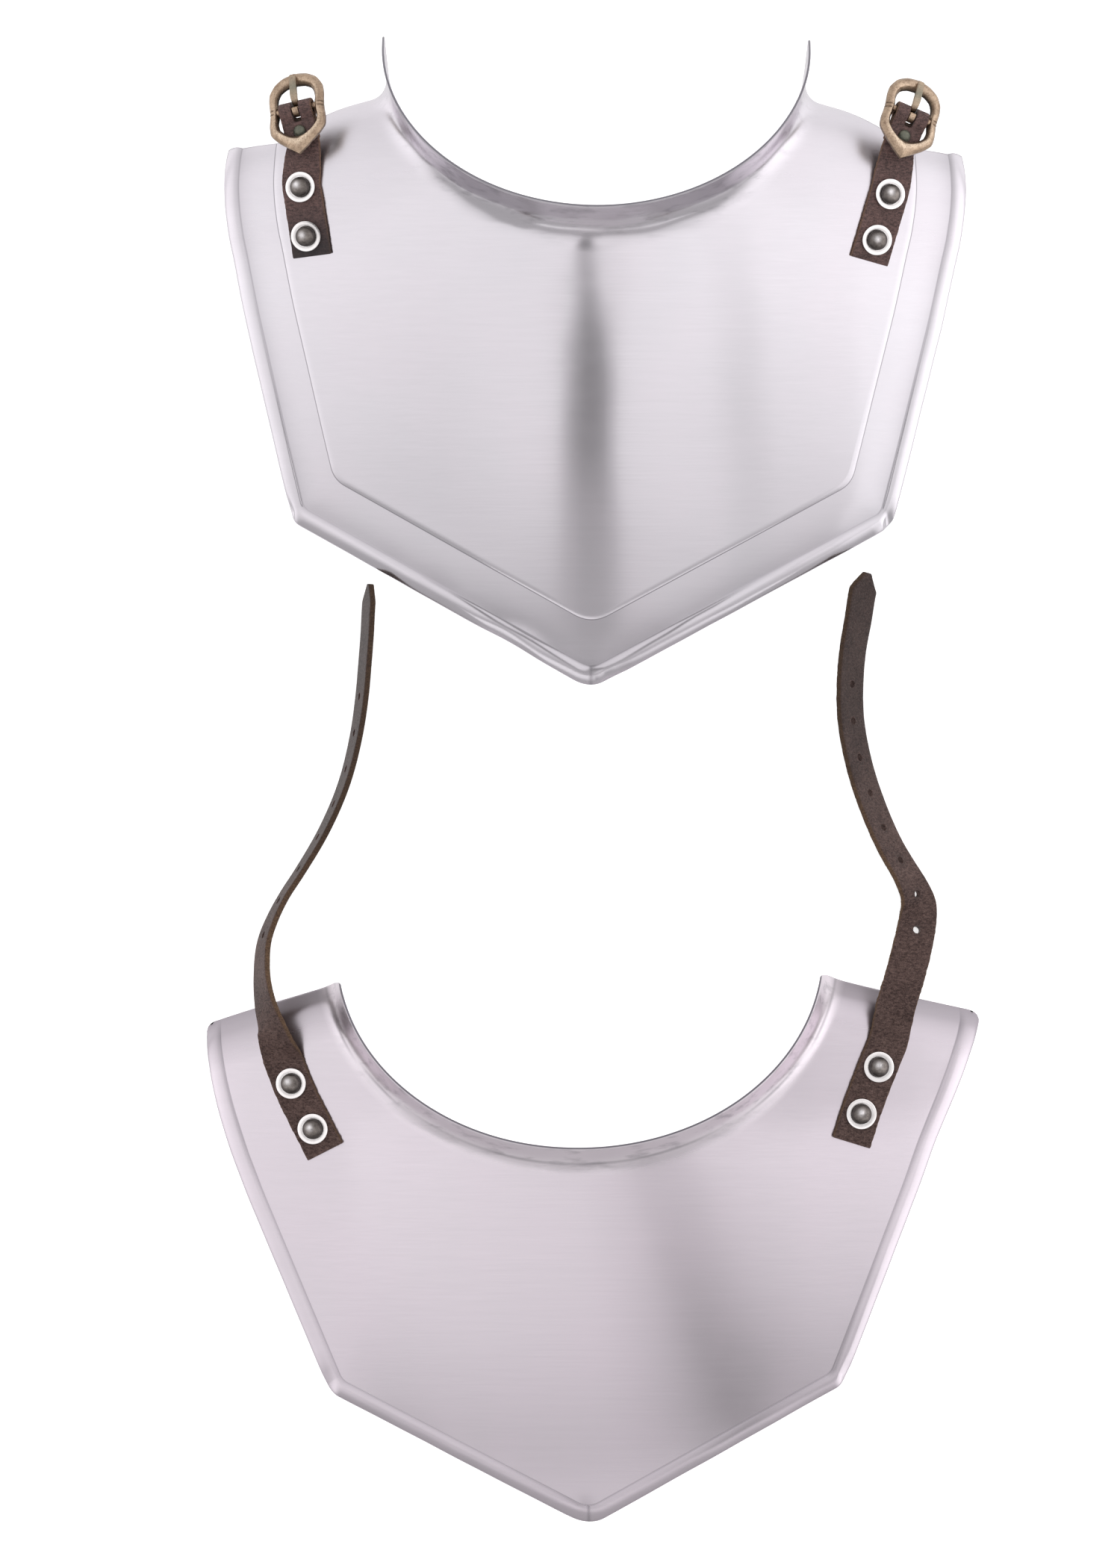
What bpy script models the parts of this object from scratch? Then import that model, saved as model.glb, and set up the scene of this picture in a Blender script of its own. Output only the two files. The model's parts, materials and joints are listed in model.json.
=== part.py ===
# Gorget laid out flat: a front plate with two buckled tabs, a back plate with two long straps.
# Lengths are millimetres here and become metres when a mesh is made. +Z is up, the floor is z = 0.
import math

import bmesh
import bpy
import numpy as np
from mathutils import Vector
from mathutils.bvhtree import BVHTree

MM = 0.001

# Sheet and leather
STEEL = 1.2
GAP = 0.3
TAB_THICK = 2.0
STRAP_THICK = 2.6
STRAP_WIDTH = 18.0

# Rivets and washers
SHANK = 1.7
HOLE = SHANK + GAP
WASHER_RADIUS = 7.2
WASHER_THICK = 1.0
WASHER_BEVEL = 0.3
HEAD_RADIUS = 4.9
HEAD_HEIGHT = 3.4
TAIL_RADIUS = 3.4
TAIL_HEIGHT = 1.0
LOOP_SHANK = 1.2
LOOP_HEAD = (2.9, 1.9)  # radius, height
LOOP_TAIL = (2.4, 0.8)

# Buckles. The waist is the share of the length from the middle to the inner edge at the bar.
BUCKLE_LENGTH = 41.2
BUCKLE_WAIST = 0.205
BUCKLE_THICK = 4.2
BAR_RADIUS = 1.5
BUCKLE_LEAN = 25.5
BUCKLE_SKEW = 5.0
PRONG_WIDTH = 3.0
PRONG_THICK = 1.7
PRONG_REACH = 0.425
PRONG_CURL = (8, -25, -60, -95, -130, -165, -200, -235, -262)  # degrees round the bar

# Fold of a tab round the bar: distances back from the bar, heights as shares of the full turn.
EYE_PLAY = 0.65
EYE_WIDTH = 2 * (BUCKLE_WAIST * BUCKLE_LENGTH - EYE_PLAY)
SLOT_WIDTH = PRONG_WIDTH + 3 * GAP
FOLD_RISE = ((1.6, 0.88), (3.4, 0.48), (5.6, 0.04))
FOLD_FLAT = (6.1, 11.0)
FOLD_TURNS = (0, 30, 60, 90, 120, 150, 180)
FOLD_END = 14.6
KNEE_BEFORE = 2.5
FOLD_KNEE = FOLD_END + KNEE_BEFORE
LOOP_RIVET_BACK = 10.2

# Front plate. Shares of half_width and drop describe its outline from the tip up to the shoulder.
FRONT = dict(
    at=(0.2, 257.2), turned=-0.47, half_width=168.0, drop=216.5,
    crown=60.0, fall=58.0, fall_from=22.0, fall_power=1.6, chest_radius=450.0,
    shoulder_slope=15.5, fold_start=38.4, fold_radius=36.0, fold_turn=90.0, flap=None,
    neck=(97.0, 82.8, 72.0), neck_stop=73.5, lip=(96.6, 72.0), fillet=7.5,
    emboss_side=22.0, emboss_foot=25.0, emboss_depth=1.0, emboss_step=1.8,
    rim_side=6.0, rim_foot=7.2, rim_height=2.3, corner_round=4.0, tip_round=9.0,
    emboss_corner=12.0, emboss_tip=10.0, flap_corner=0.0, sway=0.0,
    columns=dict(tip=0.05, foot=0.37, corner=0.13, side=0.45),
)
FRONT_OUTLINE = (  # out, down
    (0.0, 1.0), (0.807, 0.655), (0.862, 0.480), (0.900, 0.356), (0.938, 0.232), (0.955, 0.1695),
    (0.971, 0.107), (0.983, 0.067), (0.994, 0.005), (0.998, -0.045), (0.997, -0.160),
)
FRONT_LIP = (  # share along the neck, angle round the neck in degrees, width of the collar
    (0.00, 0.0, 19.0), (0.25, 24.3, 19.3), (0.47, 45.6, 20.3), (0.54, 53.5, 20.6),
    (0.645, 67.4, 21.6), (0.735, 80.5, 22.8), (0.87, 92.6, 25.7), (1.00, 94.0, 26.2),
)

# Back plate, described the same way.
BACK = dict(
    at=(-5.1, -166.3), turned=0.9, half_width=175.6, drop=171.0,
    crown=36.0, fall=34.0, fall_from=26.0, fall_power=1.5, chest_radius=620.0,
    shoulder_slope=15.0, fold_start=84.6, fold_radius=16.0, fold_turn=50.0, flap=106.6,
    neck=(114.5, 95.4, 88.0), neck_stop=79.0, lip=(110.0, 88.0), fillet=4.5,
    emboss_side=0.0, emboss_foot=0.0, emboss_depth=0.0, emboss_step=0.0,
    rim_side=6.2, rim_foot=6.6, rim_height=2.3, corner_round=4.0, tip_round=8.0,
    emboss_corner=0.0, emboss_tip=0.0, flap_corner=5.0, sway=5.5,
    columns=dict(tip=0.04, foot=0.30, corner=0.10, side=0.56),
)
BACK_OUTLINE = (
    (0.0, 1.0), (0.6606, 0.6333), (0.861, 0.120), (0.889, 0.0415), (0.917, -0.0374),
    (0.945, -0.116), (0.969, -0.195), (0.9875, -0.2737), (0.998, -0.345), (1.000, -0.400),
)
BACK_LIP = (
    (0.00, 0.0, 12.5), (0.28, 22.5, 12.5), (0.54, 44.5, 12.6), (0.78, 65.0, 12.8), (1.00, 83.5, 13.0),
)

# Shape of the rolled rim and of the hammered shoulders
GROOVE_ROUND = 0.7
ROLL_PAST = 1.04
ROLL_SKEW = 0.9
ROLL_TUCK = 0.5
FLAP_REACH = 160.0
FLAP_CLEAR = 0.5
GROOVE_CUT = 0.35
SWAY_FROM = 0.6
SWAY_RISE = 55.0

# Places on the floor plan, as shares of the plate's half width and drop from its own middle:
# lower end of a tab, its two rivets, the buckle bar.
TAB_PLACES = dict(
    left=dict(end=(-0.7548, -0.0979), rivets=((-0.7690, -0.0559), (-0.7827, 0.0439)), bar=(-0.8006, 0.2069)),
    right=dict(end=(0.7321, -0.1085), rivets=((0.7506, -0.0637), (0.7845, 0.0296)), bar=(0.8488, 0.1945)),
)
TAB_DIP = 4.0
TAB_LEAVE = 1.5
TAB_EASE = (0.35, 0.7)

# Straps. The rows are shares of STRAP_REACH across and along from the strap's lower end, the rise
# of its middle as a share of its width and its lean in degrees. None means it lies on the plate.
STRAP_REACH = 256.0
STRAP_PLACES = dict(
    left=dict(end=(-0.6595, -0.0058), rivets=((-0.6902, 0.0550), (-0.7477, 0.1731))),
    right=dict(end=(0.6868, 0.0175), rivets=((0.7096, 0.0942), (0.7517, 0.2164))),
)
STRAP_ROWS = dict(
    left=(
        (0.0000, 0.0000, None, None), (-0.0210, 0.0408, None, None), (-0.0605, 0.1197, None, None),
        (-0.0740, 0.1530, None, None), (-0.0960, 0.2183, 1.560, 48), (-0.1092, 0.2657, 1.240, 64),
        (-0.1140, 0.3183, 0.790, 72), (-0.1092, 0.3709, 0.560, 76), (-0.0947, 0.4104, 0.540, 79),
        (-0.0743, 0.4498, 0.535, 81), (-0.0487, 0.4893, 0.533, 81), (-0.0026, 0.5682, 0.533, 80),
        (0.0309, 0.6471, 0.533, 79), (0.0513, 0.7260, 0.533, 78), (0.0631, 0.8049, 0.533, 77),
        (0.0677, 0.8575, 0.533, 77), (0.0717, 0.9101, 0.533, 77), (0.0745, 0.9628, 0.533, 77),
        (0.0775, 0.9996, 0.533, 77),
    ),
    right=(
        (0.0000, 0.0000, None, None), (0.0158, 0.0513, None, None), (0.0447, 0.1328, None, None),
        (0.0600, 0.1750, None, None), (0.0800, 0.2420, 1.330, 8), (0.0947, 0.2894, 0.990, 5),
        (0.1060, 0.3300, 0.660, 8), (0.1160, 0.3740, 0.400, 16), (0.1203, 0.4143, 0.330, 28),
        (0.1144, 0.4400, 0.410, 42), (0.0980, 0.4735, 0.470, 51), (0.0750, 0.5129, 0.485, 53),
        (0.0395, 0.5919, 0.485, 53), (0.0145, 0.6708, 0.485, 53), (0.0007, 0.7497, 0.485, 53),
        (0.0000, 0.8154, 0.485, 53), (0.0046, 0.8681, 0.485, 53), (0.0138, 0.9207, 0.480, 52),
        (0.0224, 0.9733, 0.475, 51), (0.0300, 1.0040, 0.470, 50),
    ),
)
STRAP_STATIONS = 47
TIP_TAPER = 8.0
TIP_WIDTH = 0.22
PUNCH_RADIUS = 1.6
PUNCH_PITCH = 16.8
PUNCH_FIRST = 51.0
PUNCH_COUNT = 8

# Buckle outline from the top of the upper loop to the point of the lower one, as shares of its
# length: outer edge across and up, inner edge across and up.
BUCKLE_ROWS = (
    (0.000, 0.447, 0.000, 0.296), (0.133, 0.422, 0.102, 0.282), (0.243, 0.354, 0.175, 0.238),
    (0.306, 0.252, 0.209, 0.175), (0.318, 0.146, 0.218, 0.112), (0.314, 0.068, 0.210, 0.053),
    (0.312, 0.000, BUCKLE_WAIST, 0.000), (0.316, -0.068, 0.212, -0.058), (0.325, -0.160, 0.226, -0.131),
    (0.314, -0.262, 0.210, -0.208), (0.228, -0.366, 0.152, -0.276), (0.117, -0.462, 0.078, -0.322),
    (0.000, -0.545, 0.000, -0.337),
)
BUCKLE_SECTION = (  # share from the inner to the outer edge, share of the thickness
    (0.00, -0.28), (0.00, 0.28), (0.20, 0.50), (0.80, 0.50),
    (1.00, 0.26), (1.00, -0.28), (0.80, -0.50), (0.20, -0.50),
)
BAR_ROW = 6

COARSE = dict(tip=1, foot=5, corner=2, side=5, fold=6, collar=2, fillet=3, face=4, step=1, band=1, rim=4)

COLOURS = dict(
    plate=((0.62, 0.60, 0.63), 1.0, 0.30), leather=((0.055, 0.035, 0.030), 0.0, 0.62),
    brass=((0.42, 0.33, 0.22), 1.0, 0.42), pewter=((0.16, 0.14, 0.14), 1.0, 0.40),
    bright=((0.85, 0.85, 0.87), 1.0, 0.22), verdigris=((0.20, 0.26, 0.22), 1.0, 0.55),
)


# Small vector helpers

def unit(v):
    v = np.asarray(v, dtype=float)
    return v / np.linalg.norm(v, axis=-1, keepdims=True)


def soft_table(at, rows, column):
    """Value of a table column at a share, with no kinks at the rows."""
    xs = np.array([r[0] for r in rows])
    ys = np.array([r[column] for r in rows])
    slopes = np.gradient(ys, xs)
    at = np.clip(np.asarray(at, dtype=float), xs[0], xs[-1])
    k = np.clip(np.searchsorted(xs, at, side="right") - 1, 0, len(xs) - 2)
    step = xs[k + 1] - xs[k]
    t = (at - xs[k]) / step
    return ((2 * t ** 3 - 3 * t ** 2 + 1) * ys[k] + (t ** 3 - 2 * t ** 2 + t) * step * slopes[k]
            + (3 * t ** 2 - 2 * t ** 3) * ys[k + 1] + (t ** 3 - t ** 2) * step * slopes[k + 1])


def along(points, shares):
    """Points of a polyline at shares of its length."""
    points = np.asarray(points, dtype=float)
    length = np.concatenate([[0.0], np.cumsum(np.linalg.norm(np.diff(points, axis=0), axis=1))])
    want = np.asarray(shares) * length[-1]
    return np.stack([np.interp(want, length, points[:, i]) for i in range(points.shape[1])], axis=1)


# The formed sheet of a plate

def form(plate, x, y):
    """Outer face of the sheet for a point of its flat pattern, in the plate's own axes."""
    side, ax = np.where(x < 0, -1.0, 1.0), np.abs(x)
    c, s = math.cos(math.radians(plate["shoulder_slope"])), math.sin(math.radians(plate["shoulder_slope"]))
    across, up = ax * c - y * s, ax * s + y * c
    radius, most = plate["fold_radius"], math.radians(plate["fold_turn"])
    over = np.maximum(up - plate["fold_start"], 0.0)
    turn = np.minimum(over / radius, most)
    past = over - turn * radius
    up2 = np.minimum(up, plate["fold_start"]) + radius * np.sin(turn) + past * np.cos(turn)
    sunk = radius * (1.0 - np.cos(turn)) + past * np.sin(turn)
    px, py = across * c + up2 * s, up2 * c - across * s
    share = np.maximum(plate["fall_from"] - py, 0.0) / (plate["fall_from"] + plate["drop"])
    z = (plate["crown"] - plate["fall"] * share ** plate["fall_power"]
         - px ** 2 / (2 * plate["chest_radius"]) - sunk)
    return np.stack([side * px, py, z], axis=-1)


def face_normal(plate, x, y):
    """Outward direction of the sheet at a point of its flat pattern."""
    e = 0.05
    dx = form(plate, np.abs(x) + e, y) - form(plate, np.abs(x) - e, y)
    dy = form(plate, np.abs(x), y + e) - form(plate, np.abs(x), y - e)
    n = unit(np.cross(dx, dy))
    n[..., 0] *= np.where(x < 0, -1.0, 1.0)
    return n


def unfold(plate, x, y):
    """Flat pattern point under a point of the plan."""
    side, ax = np.where(x < 0, -1.0, 1.0), np.abs(x)
    c, s = math.cos(math.radians(plate["shoulder_slope"])), math.sin(math.radians(plate["shoulder_slope"]))
    across, up = ax * c - y * s, ax * s + y * c
    radius, most = plate["fold_radius"], math.radians(plate["fold_turn"])
    over = np.maximum(up - plate["fold_start"], 0.0)
    bent = radius * np.arcsin(np.clip(over / radius, 0.0, math.sin(most)))
    past = np.maximum(over - radius * math.sin(most), 0.0) / max(math.cos(most), 0.05)
    flat = np.minimum(up, plate["fold_start"]) + bent + past
    return side * (across * c + flat * s), flat * c - across * s


def up_share(plate, point):
    """Distance of flat pattern points across the shoulder fold."""
    slope = math.radians(plate["shoulder_slope"])
    return np.abs(point[..., 0]) * math.sin(slope) + point[..., 1] * math.cos(slope)


def flap_end(plate, start, way):
    """Last flat point of the shoulder flap from a start: at its cut, or where it meets the floor."""
    low, high = 0.0, FLAP_REACH
    for _ in range(50):
        mid = (low + high) / 2
        p = np.array(start) + mid * np.array(way)
        if plate["flap"] is None:
            inside = form(plate, p[0], p[1])[2] > FLAP_CLEAR
        else:
            inside = up_share(plate, p) < plate["flap"]
        low, high = (mid, high) if inside else (low, mid)
    return np.array(start) + low * np.array(way)


def neck_crease(plate):
    """Flat polyline of the bend between collar and plate, from the middle to the shoulder."""
    wide, deep, middle = plate["neck"]
    angles = np.radians(np.arange(0.0, plate["neck_stop"] + 0.01, 0.5))
    x, y = unfold(plate, wide * np.sin(angles), middle - deep * np.cos(angles))
    points = np.stack([x, y], axis=1)
    slope = math.radians(plate["shoulder_slope"])
    end = flap_end(plate, points[-1], (math.sin(slope), math.cos(slope)))
    return np.vstack([points, end])


def outline(plate, rows, inset_foot, inset_side):
    """Corners of the plate's outline in the flat pattern, moved inwards, from the tip upwards."""
    v = np.array(rows) * (plate["half_width"], -plate["drop"])
    insets = np.array([inset_foot] + [inset_side] * (len(v) - 2))
    way = unit(np.diff(v, axis=0))
    inward = np.stack([-way[:, 1], way[:, 0]], axis=1)
    moved = []
    first = v[0] + inward[0] * insets[0]
    moved.append(first - way[0] * first[0] / way[0][0])
    for i in range(1, len(v) - 1):
        a, b = inward[i - 1], inward[i]
        rhs = np.array([a @ v[i] + insets[i - 1], b @ v[i] + insets[i]])
        if abs(a[0] * b[1] - a[1] * b[0]) < 1e-3:
            moved.append(v[i] + b * insets[i])
        else:
            moved.append(np.linalg.solve(np.array([a, b]), rhs))
    last = v[-2] + inward[-1] * insets[-1]
    moved.append(flap_end(plate, last, way[-1]))
    return np.array(moved)


def rounded(a, corner, b, radius, count, half=False):
    """Soft corner between two straight runs; the half form starts on the line of symmetry."""
    start = corner + unit(a - corner) * radius
    stop = corner + unit(b - corner) * radius
    t = np.linspace(0.5 if half else 0.0, 1.0, count + 1)[:, None]
    return (1 - t) ** 2 * start + 2 * t * (1 - t) * corner + t ** 2 * stop


def edge_columns(plate, corners, tip_round, corner_round, detail):
    """Points of an outline at the plate's columns, from the tip to the end of the shoulder."""
    mirrored = corners[1] * (-1.0, 1.0)
    tip = rounded(mirrored, corners[0], corners[1], tip_round, detail["tip"], half=True)
    bend = rounded(corners[0], corners[1], corners[2], corner_round, detail["corner"])
    foot = np.linspace(tip[-1], bend[0], detail["foot"] + 1)
    side = np.vstack([bend[-1], corners[2:]])
    fine = along(side, np.linspace(0, 1, 600))
    cut = int(np.argmax(up_share(plate, fine) >= plate["fold_start"]))
    low = along(fine[:cut + 1], np.linspace(0, 1, detail["side"] + 1))
    high = along(fine[cut:], np.linspace(0, 1, detail["fold"] + 1))
    return np.vstack([tip[:-1], foot[:-1], bend[:-1], low[:-1], high])


def crease_columns(plate, detail):
    """Neck crease points matching the columns, with their shares of the crease length."""
    crease = neck_crease(plate)
    shares = np.linspace(0, 1, 1200)
    fine = along(crease, shares)
    cut = shares[int(np.argmax(up_share(plate, fine) >= plate["fold_start"]))]
    at, here = [0.0], 0.0
    for part in ("tip", "foot", "corner", "side"):
        step = plate["columns"][part] * cut / detail[part]
        for _ in range(detail[part]):
            here += step
            at.append(here)
    at = np.array(at[:-1] + list(np.linspace(cut, 1.0, detail["fold"] + 1)))
    return along(crease, at), at


def raised(plate, flat, height):
    """Point of the formed sheet with a small raise along its outward direction."""
    return (form(plate, flat[:, 0], flat[:, 1])
            + face_normal(plate, flat[:, 0], flat[:, 1]) * np.asarray(height)[:, None])


def plate_rows(plate, rows, lip_rows, detail):
    """Grid of the plate's outer face for x >= 0: columns from the middle to the shoulder's end."""
    crease, at = crease_columns(plate, detail)
    outer = edge_columns(plate, outline(plate, rows, 0.0, 0.0),
                         plate["tip_round"], plate["corner_round"], detail)
    groove = edge_columns(plate, outline(plate, rows, plate["rim_foot"], plate["rim_side"]),
                          plate["tip_round"] * GROOVE_ROUND, plate["corner_round"] * GROOVE_ROUND, detail)
    if plate["flap_corner"]:
        # the shoulder's outer corner is cut off
        way = unit(outer[-2] - outer[-1])
        outer[-1] += way * plate["flap_corner"]
        groove[-1] += way * plate["flap_corner"] * GROOVE_CUT
    deep = plate["emboss_depth"]
    none = np.zeros(len(at))
    if deep:
        step_in = outline(plate, rows, plate["emboss_foot"], plate["emboss_side"])
        step_out = outline(plate, rows, plate["emboss_foot"] - plate["emboss_step"],
                           plate["emboss_side"] - plate["emboss_step"])
        inner = edge_columns(plate, step_in, plate["emboss_tip"], plate["emboss_corner"], detail)
        lower = edge_columns(plate, step_out, plate["emboss_tip"], plate["emboss_corner"], detail)
    else:
        inner = groove
    # collar and fillet
    crease3 = form(plate, crease[:, 0], crease[:, 1])
    angle = np.radians(soft_table(at, lip_rows, 1))
    width = soft_table(at, lip_rows, 2)
    lip_wide, lip_deep = plate["lip"]
    capped = np.minimum(angle, math.pi / 2)
    lip = np.stack([lip_wide * np.sin(capped),
                    lip_deep * (1 - np.cos(capped)) + lip_deep * (angle - capped)], axis=1)
    shift = lip - crease3[:, :2]
    rise = np.sqrt(np.maximum(width ** 2 - (shift ** 2).sum(axis=1), 0.0))
    lip3 = np.column_stack([lip, crease3[:, 2] + rise])
    stand = unit(lip3 - crease3)
    foot = crease + unit(inner - crease) * plate["fillet"]
    foot3 = form(plate, foot[:, 0], foot[:, 1])
    start = crease3 + stand * plate["fillet"]
    grid = [lip3 + (start - lip3) * k for k in np.linspace(0, 1, detail["collar"] + 1)[:-1]]
    for t in np.linspace(0, 1, detail["fillet"] + 1)[:-1]:
        grid.append((1 - t) ** 2 * start + 2 * t * (1 - t) * crease3 + t ** 2 * foot3)
    # open face
    for t in np.linspace(0, 1, detail["face"] + 1):
        grid.append(raised(plate, foot + (inner - foot) * t, none))
    # border
    if deep:
        for t in np.linspace(0, 1, detail["step"] + 1)[1:]:
            ease = t * t * (3 - 2 * t)
            grid.append(raised(plate, inner + (lower - inner) * t, none - deep * ease))
        for t in np.linspace(0, 1, detail["band"] + 1)[1:]:
            grid.append(raised(plate, lower + (groove - lower) * t, none - deep))
    for t in np.linspace(0, 1, detail["rim"] + 1)[1:]:
        roll = math.sin(math.pi * min(t * ROLL_PAST, 1.0) ** ROLL_SKEW) * plate["rim_height"]
        roll -= ROLL_TUCK * t ** 6
        grid.append(raised(plate, groove + (outer - groove) * t, none - deep + roll))
    return np.array(grid)


def plate_grid(plate, rows, lip_rows, detail):
    """Whole outer grid, left half mirrored from the right, in the plate's own axes."""
    half = plate_rows(plate, rows, lip_rows, detail)
    half[:, 0, 0] = 0.0
    mirror = half[:, :0:-1] * (-1.0, 1.0, 1.0)
    return np.concatenate([mirror, half], axis=1)


def thick_grid(grid, thick):
    """Inner grid of a sheet at a distance below its outer grid."""
    down, across = np.gradient(grid, axis=0), np.gradient(grid, axis=1)
    normal = unit(np.cross(down, across))
    mid = normal[grid.shape[0] // 2, grid.shape[1] // 2]
    if mid[2] < 0:
        normal = -normal
    return grid - normal * thick


def place(plate, points):
    """Plate axes to the shared frame. Hammering by hand left one shoulder a little wider."""
    points = np.array(points, dtype=float)
    out = np.abs(points[..., 0]) / plate["half_width"]
    wide = np.clip((out - SWAY_FROM) / (1 - SWAY_FROM), 0, 1) ** 2
    points[..., 0] += plate["sway"] * wide * np.clip(points[..., 1] / SWAY_RISE, 0, 1)
    a = math.radians(plate["turned"])
    turn = np.array([[math.cos(a), -math.sin(a), 0.0], [math.sin(a), math.cos(a), 0.0], [0.0, 0.0, 1.0]])
    return points @ turn.T + np.array([*plate["at"], plate["lift"]])


def spot_on(plate, share):
    """Floor plan place of a point given in shares of a plate's half width and drop."""
    return np.array(plate["at"]) + np.array(share) * (plate["half_width"], plate["drop"])


def seat(plate, x, y):
    """Point and outward direction of a plate's outer face over a place of the floor plan."""
    a = math.radians(plate["turned"])
    dx, dy = x - plate["at"][0], y - plate["at"][1]
    lx, ly = dx * math.cos(a) + dy * math.sin(a), dy * math.cos(a) - dx * math.sin(a)
    fx, fy = unfold(plate, np.array(lx), np.array(ly))
    point = place(plate, form(plate, fx, fy))
    normal = face_normal(plate, fx, fy)
    turn = np.array([[math.cos(a), -math.sin(a), 0.0], [math.sin(a), math.cos(a), 0.0], [0.0, 0.0, 1.0]])
    return point, normal @ turn.T


# Mesh helpers

def material(name):
    found = bpy.data.materials.get(name)
    if found:
        return found
    colour, metal, rough = COLOURS[name]
    made = bpy.data.materials.new(name)
    made.use_nodes = True
    shader = made.node_tree.nodes["Principled BSDF"]
    shader.inputs["Base Color"].default_value = (*colour, 1.0)
    shader.inputs["Metallic"].default_value = metal
    shader.inputs["Roughness"].default_value = rough
    return made


def solid(name, verts, faces, look, origin=(0.0, 0.0, 0.0)):
    """Closed named object from millimetre points; its origin may sit on an axis of motion."""
    bm = bmesh.new()
    base = np.asarray(origin, dtype=float)
    points = [bm.verts.new(Vector((np.asarray(v) - base) * MM)) for v in verts]
    for f in faces:
        bm.faces.new([points[i] for i in f])
    bmesh.ops.recalc_face_normals(bm, faces=bm.faces)
    mesh = bpy.data.meshes.new(name)
    bm.to_mesh(mesh)
    bm.free()
    thing = bpy.data.objects.new(name, mesh)
    bpy.context.collection.objects.link(thing)
    thing.location = Vector(base * MM)
    if look:
        own = material(look).copy()
        own.name = name + "_" + look
        mesh.materials.append(own)
    return thing


def shell(name, grid, thick, look):
    """Closed sheet between an outer grid and its offset."""
    inner = thick_grid(grid, thick)
    rows, cols = grid.shape[:2]
    verts = np.vstack([grid.reshape(-1, 3), inner.reshape(-1, 3)])
    far = rows * cols
    faces = []
    for i in range(rows - 1):
        for j in range(cols - 1):
            a = i * cols + j
            quad = (a, a + 1, a + cols + 1, a + cols)
            faces.append(quad)
            faces.append(tuple(v + far for v in reversed(quad)))
    ring = ([j for j in range(cols)] + [i * cols + cols - 1 for i in range(1, rows)]
            + [(rows - 1) * cols + j for j in range(cols - 2, -1, -1)]
            + [i * cols for i in range(rows - 2, 0, -1)])
    for a, b in zip(ring, ring[1:] + ring[:1]):
        faces.append((a, b, b + far, a + far))
    return solid(name, verts, faces, look)


def frame(point, normal, hint=(0.0, 1.0, 0.0)):
    """Rows: across, along, out of a small frame on a surface."""
    n = unit(normal)
    t = unit(np.asarray(hint) - (np.asarray(hint) @ n) * n)
    return np.asarray(point), np.array([np.cross(t, n), t, n])


def lathe(profile, segments, axes, closed=False):
    """Body of revolution round the third axis of a frame; profile rows are radius and height."""
    origin, basis = axes
    verts, faces, rings = [], [], []
    for r, z in profile:
        if r < 1e-9:
            rings.append([len(verts)])
            verts.append(origin + basis[2] * z)
            continue
        start = len(verts)
        for k in range(segments):
            a = 2 * math.pi * k / segments
            verts.append(origin + basis[0] * r * math.cos(a) + basis[1] * r * math.sin(a) + basis[2] * z)
        rings.append(list(range(start, start + segments)))
    pairs = list(zip(rings, rings[1:] + (rings[:1] if closed else [])))
    for a, b in pairs[:len(rings)] if closed else pairs:
        for k in range(segments):
            k2 = (k + 1) % segments
            if len(a) == 1 and len(b) == 1:
                continue
            if len(a) == 1:
                faces.append((a[0], b[k2], b[k]))
            elif len(b) == 1:
                faces.append((a[k], a[k2], b[0]))
            else:
                faces.append((a[k], a[k2], b[k2], b[k]))
    return verts, faces


def cut(thing, cutters):
    """Exact difference with each cutter, then the cutters go."""
    for cutter in cutters:
        cutter.hide_render = True
        cutter.display_type = "WIRE"
        step = thing.modifiers.new("cut", "BOOLEAN")
        step.operation, step.solver, step.object = "DIFFERENCE", "EXACT", cutter
    settle(thing)
    for cutter in cutters:
        bpy.data.objects.remove(cutter, do_unlink=True)


def join(thing, other):
    """Exact union of two bodies into the first."""
    step = thing.modifiers.new("join", "BOOLEAN")
    step.operation, step.solver, step.object = "UNION", "EXACT", other
    settle(thing)
    bpy.data.objects.remove(other, do_unlink=True)


def settle(thing):
    """Apply the modifiers of an object to its mesh."""
    bpy.context.view_layer.update()
    graph = bpy.context.evaluated_depsgraph_get()
    result = bpy.data.meshes.new_from_object(thing.evaluated_get(graph), depsgraph=graph)
    old = thing.data
    thing.modifiers.clear()
    thing.data = result
    bpy.data.meshes.remove(old)
    result.name = thing.name


def drill(point, normal, radius, depth, segments=10):
    """Cutter for a round hole through a surface at a point."""
    profile = ((0.0, -depth), (radius, -depth), (radius, depth), (0.0, depth))
    verts, faces = lathe(profile, segments, frame(point, normal))
    return solid("drill", verts, faces, None)


# Leather

def band_frames(points, ups):
    """Directions along, out of and across a band at each point of its middle line."""
    way = unit(np.gradient(points, axis=0))
    up = unit(ups - (ups * way).sum(axis=1, keepdims=True) * way)
    return way, up, np.cross(way, up)


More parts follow.
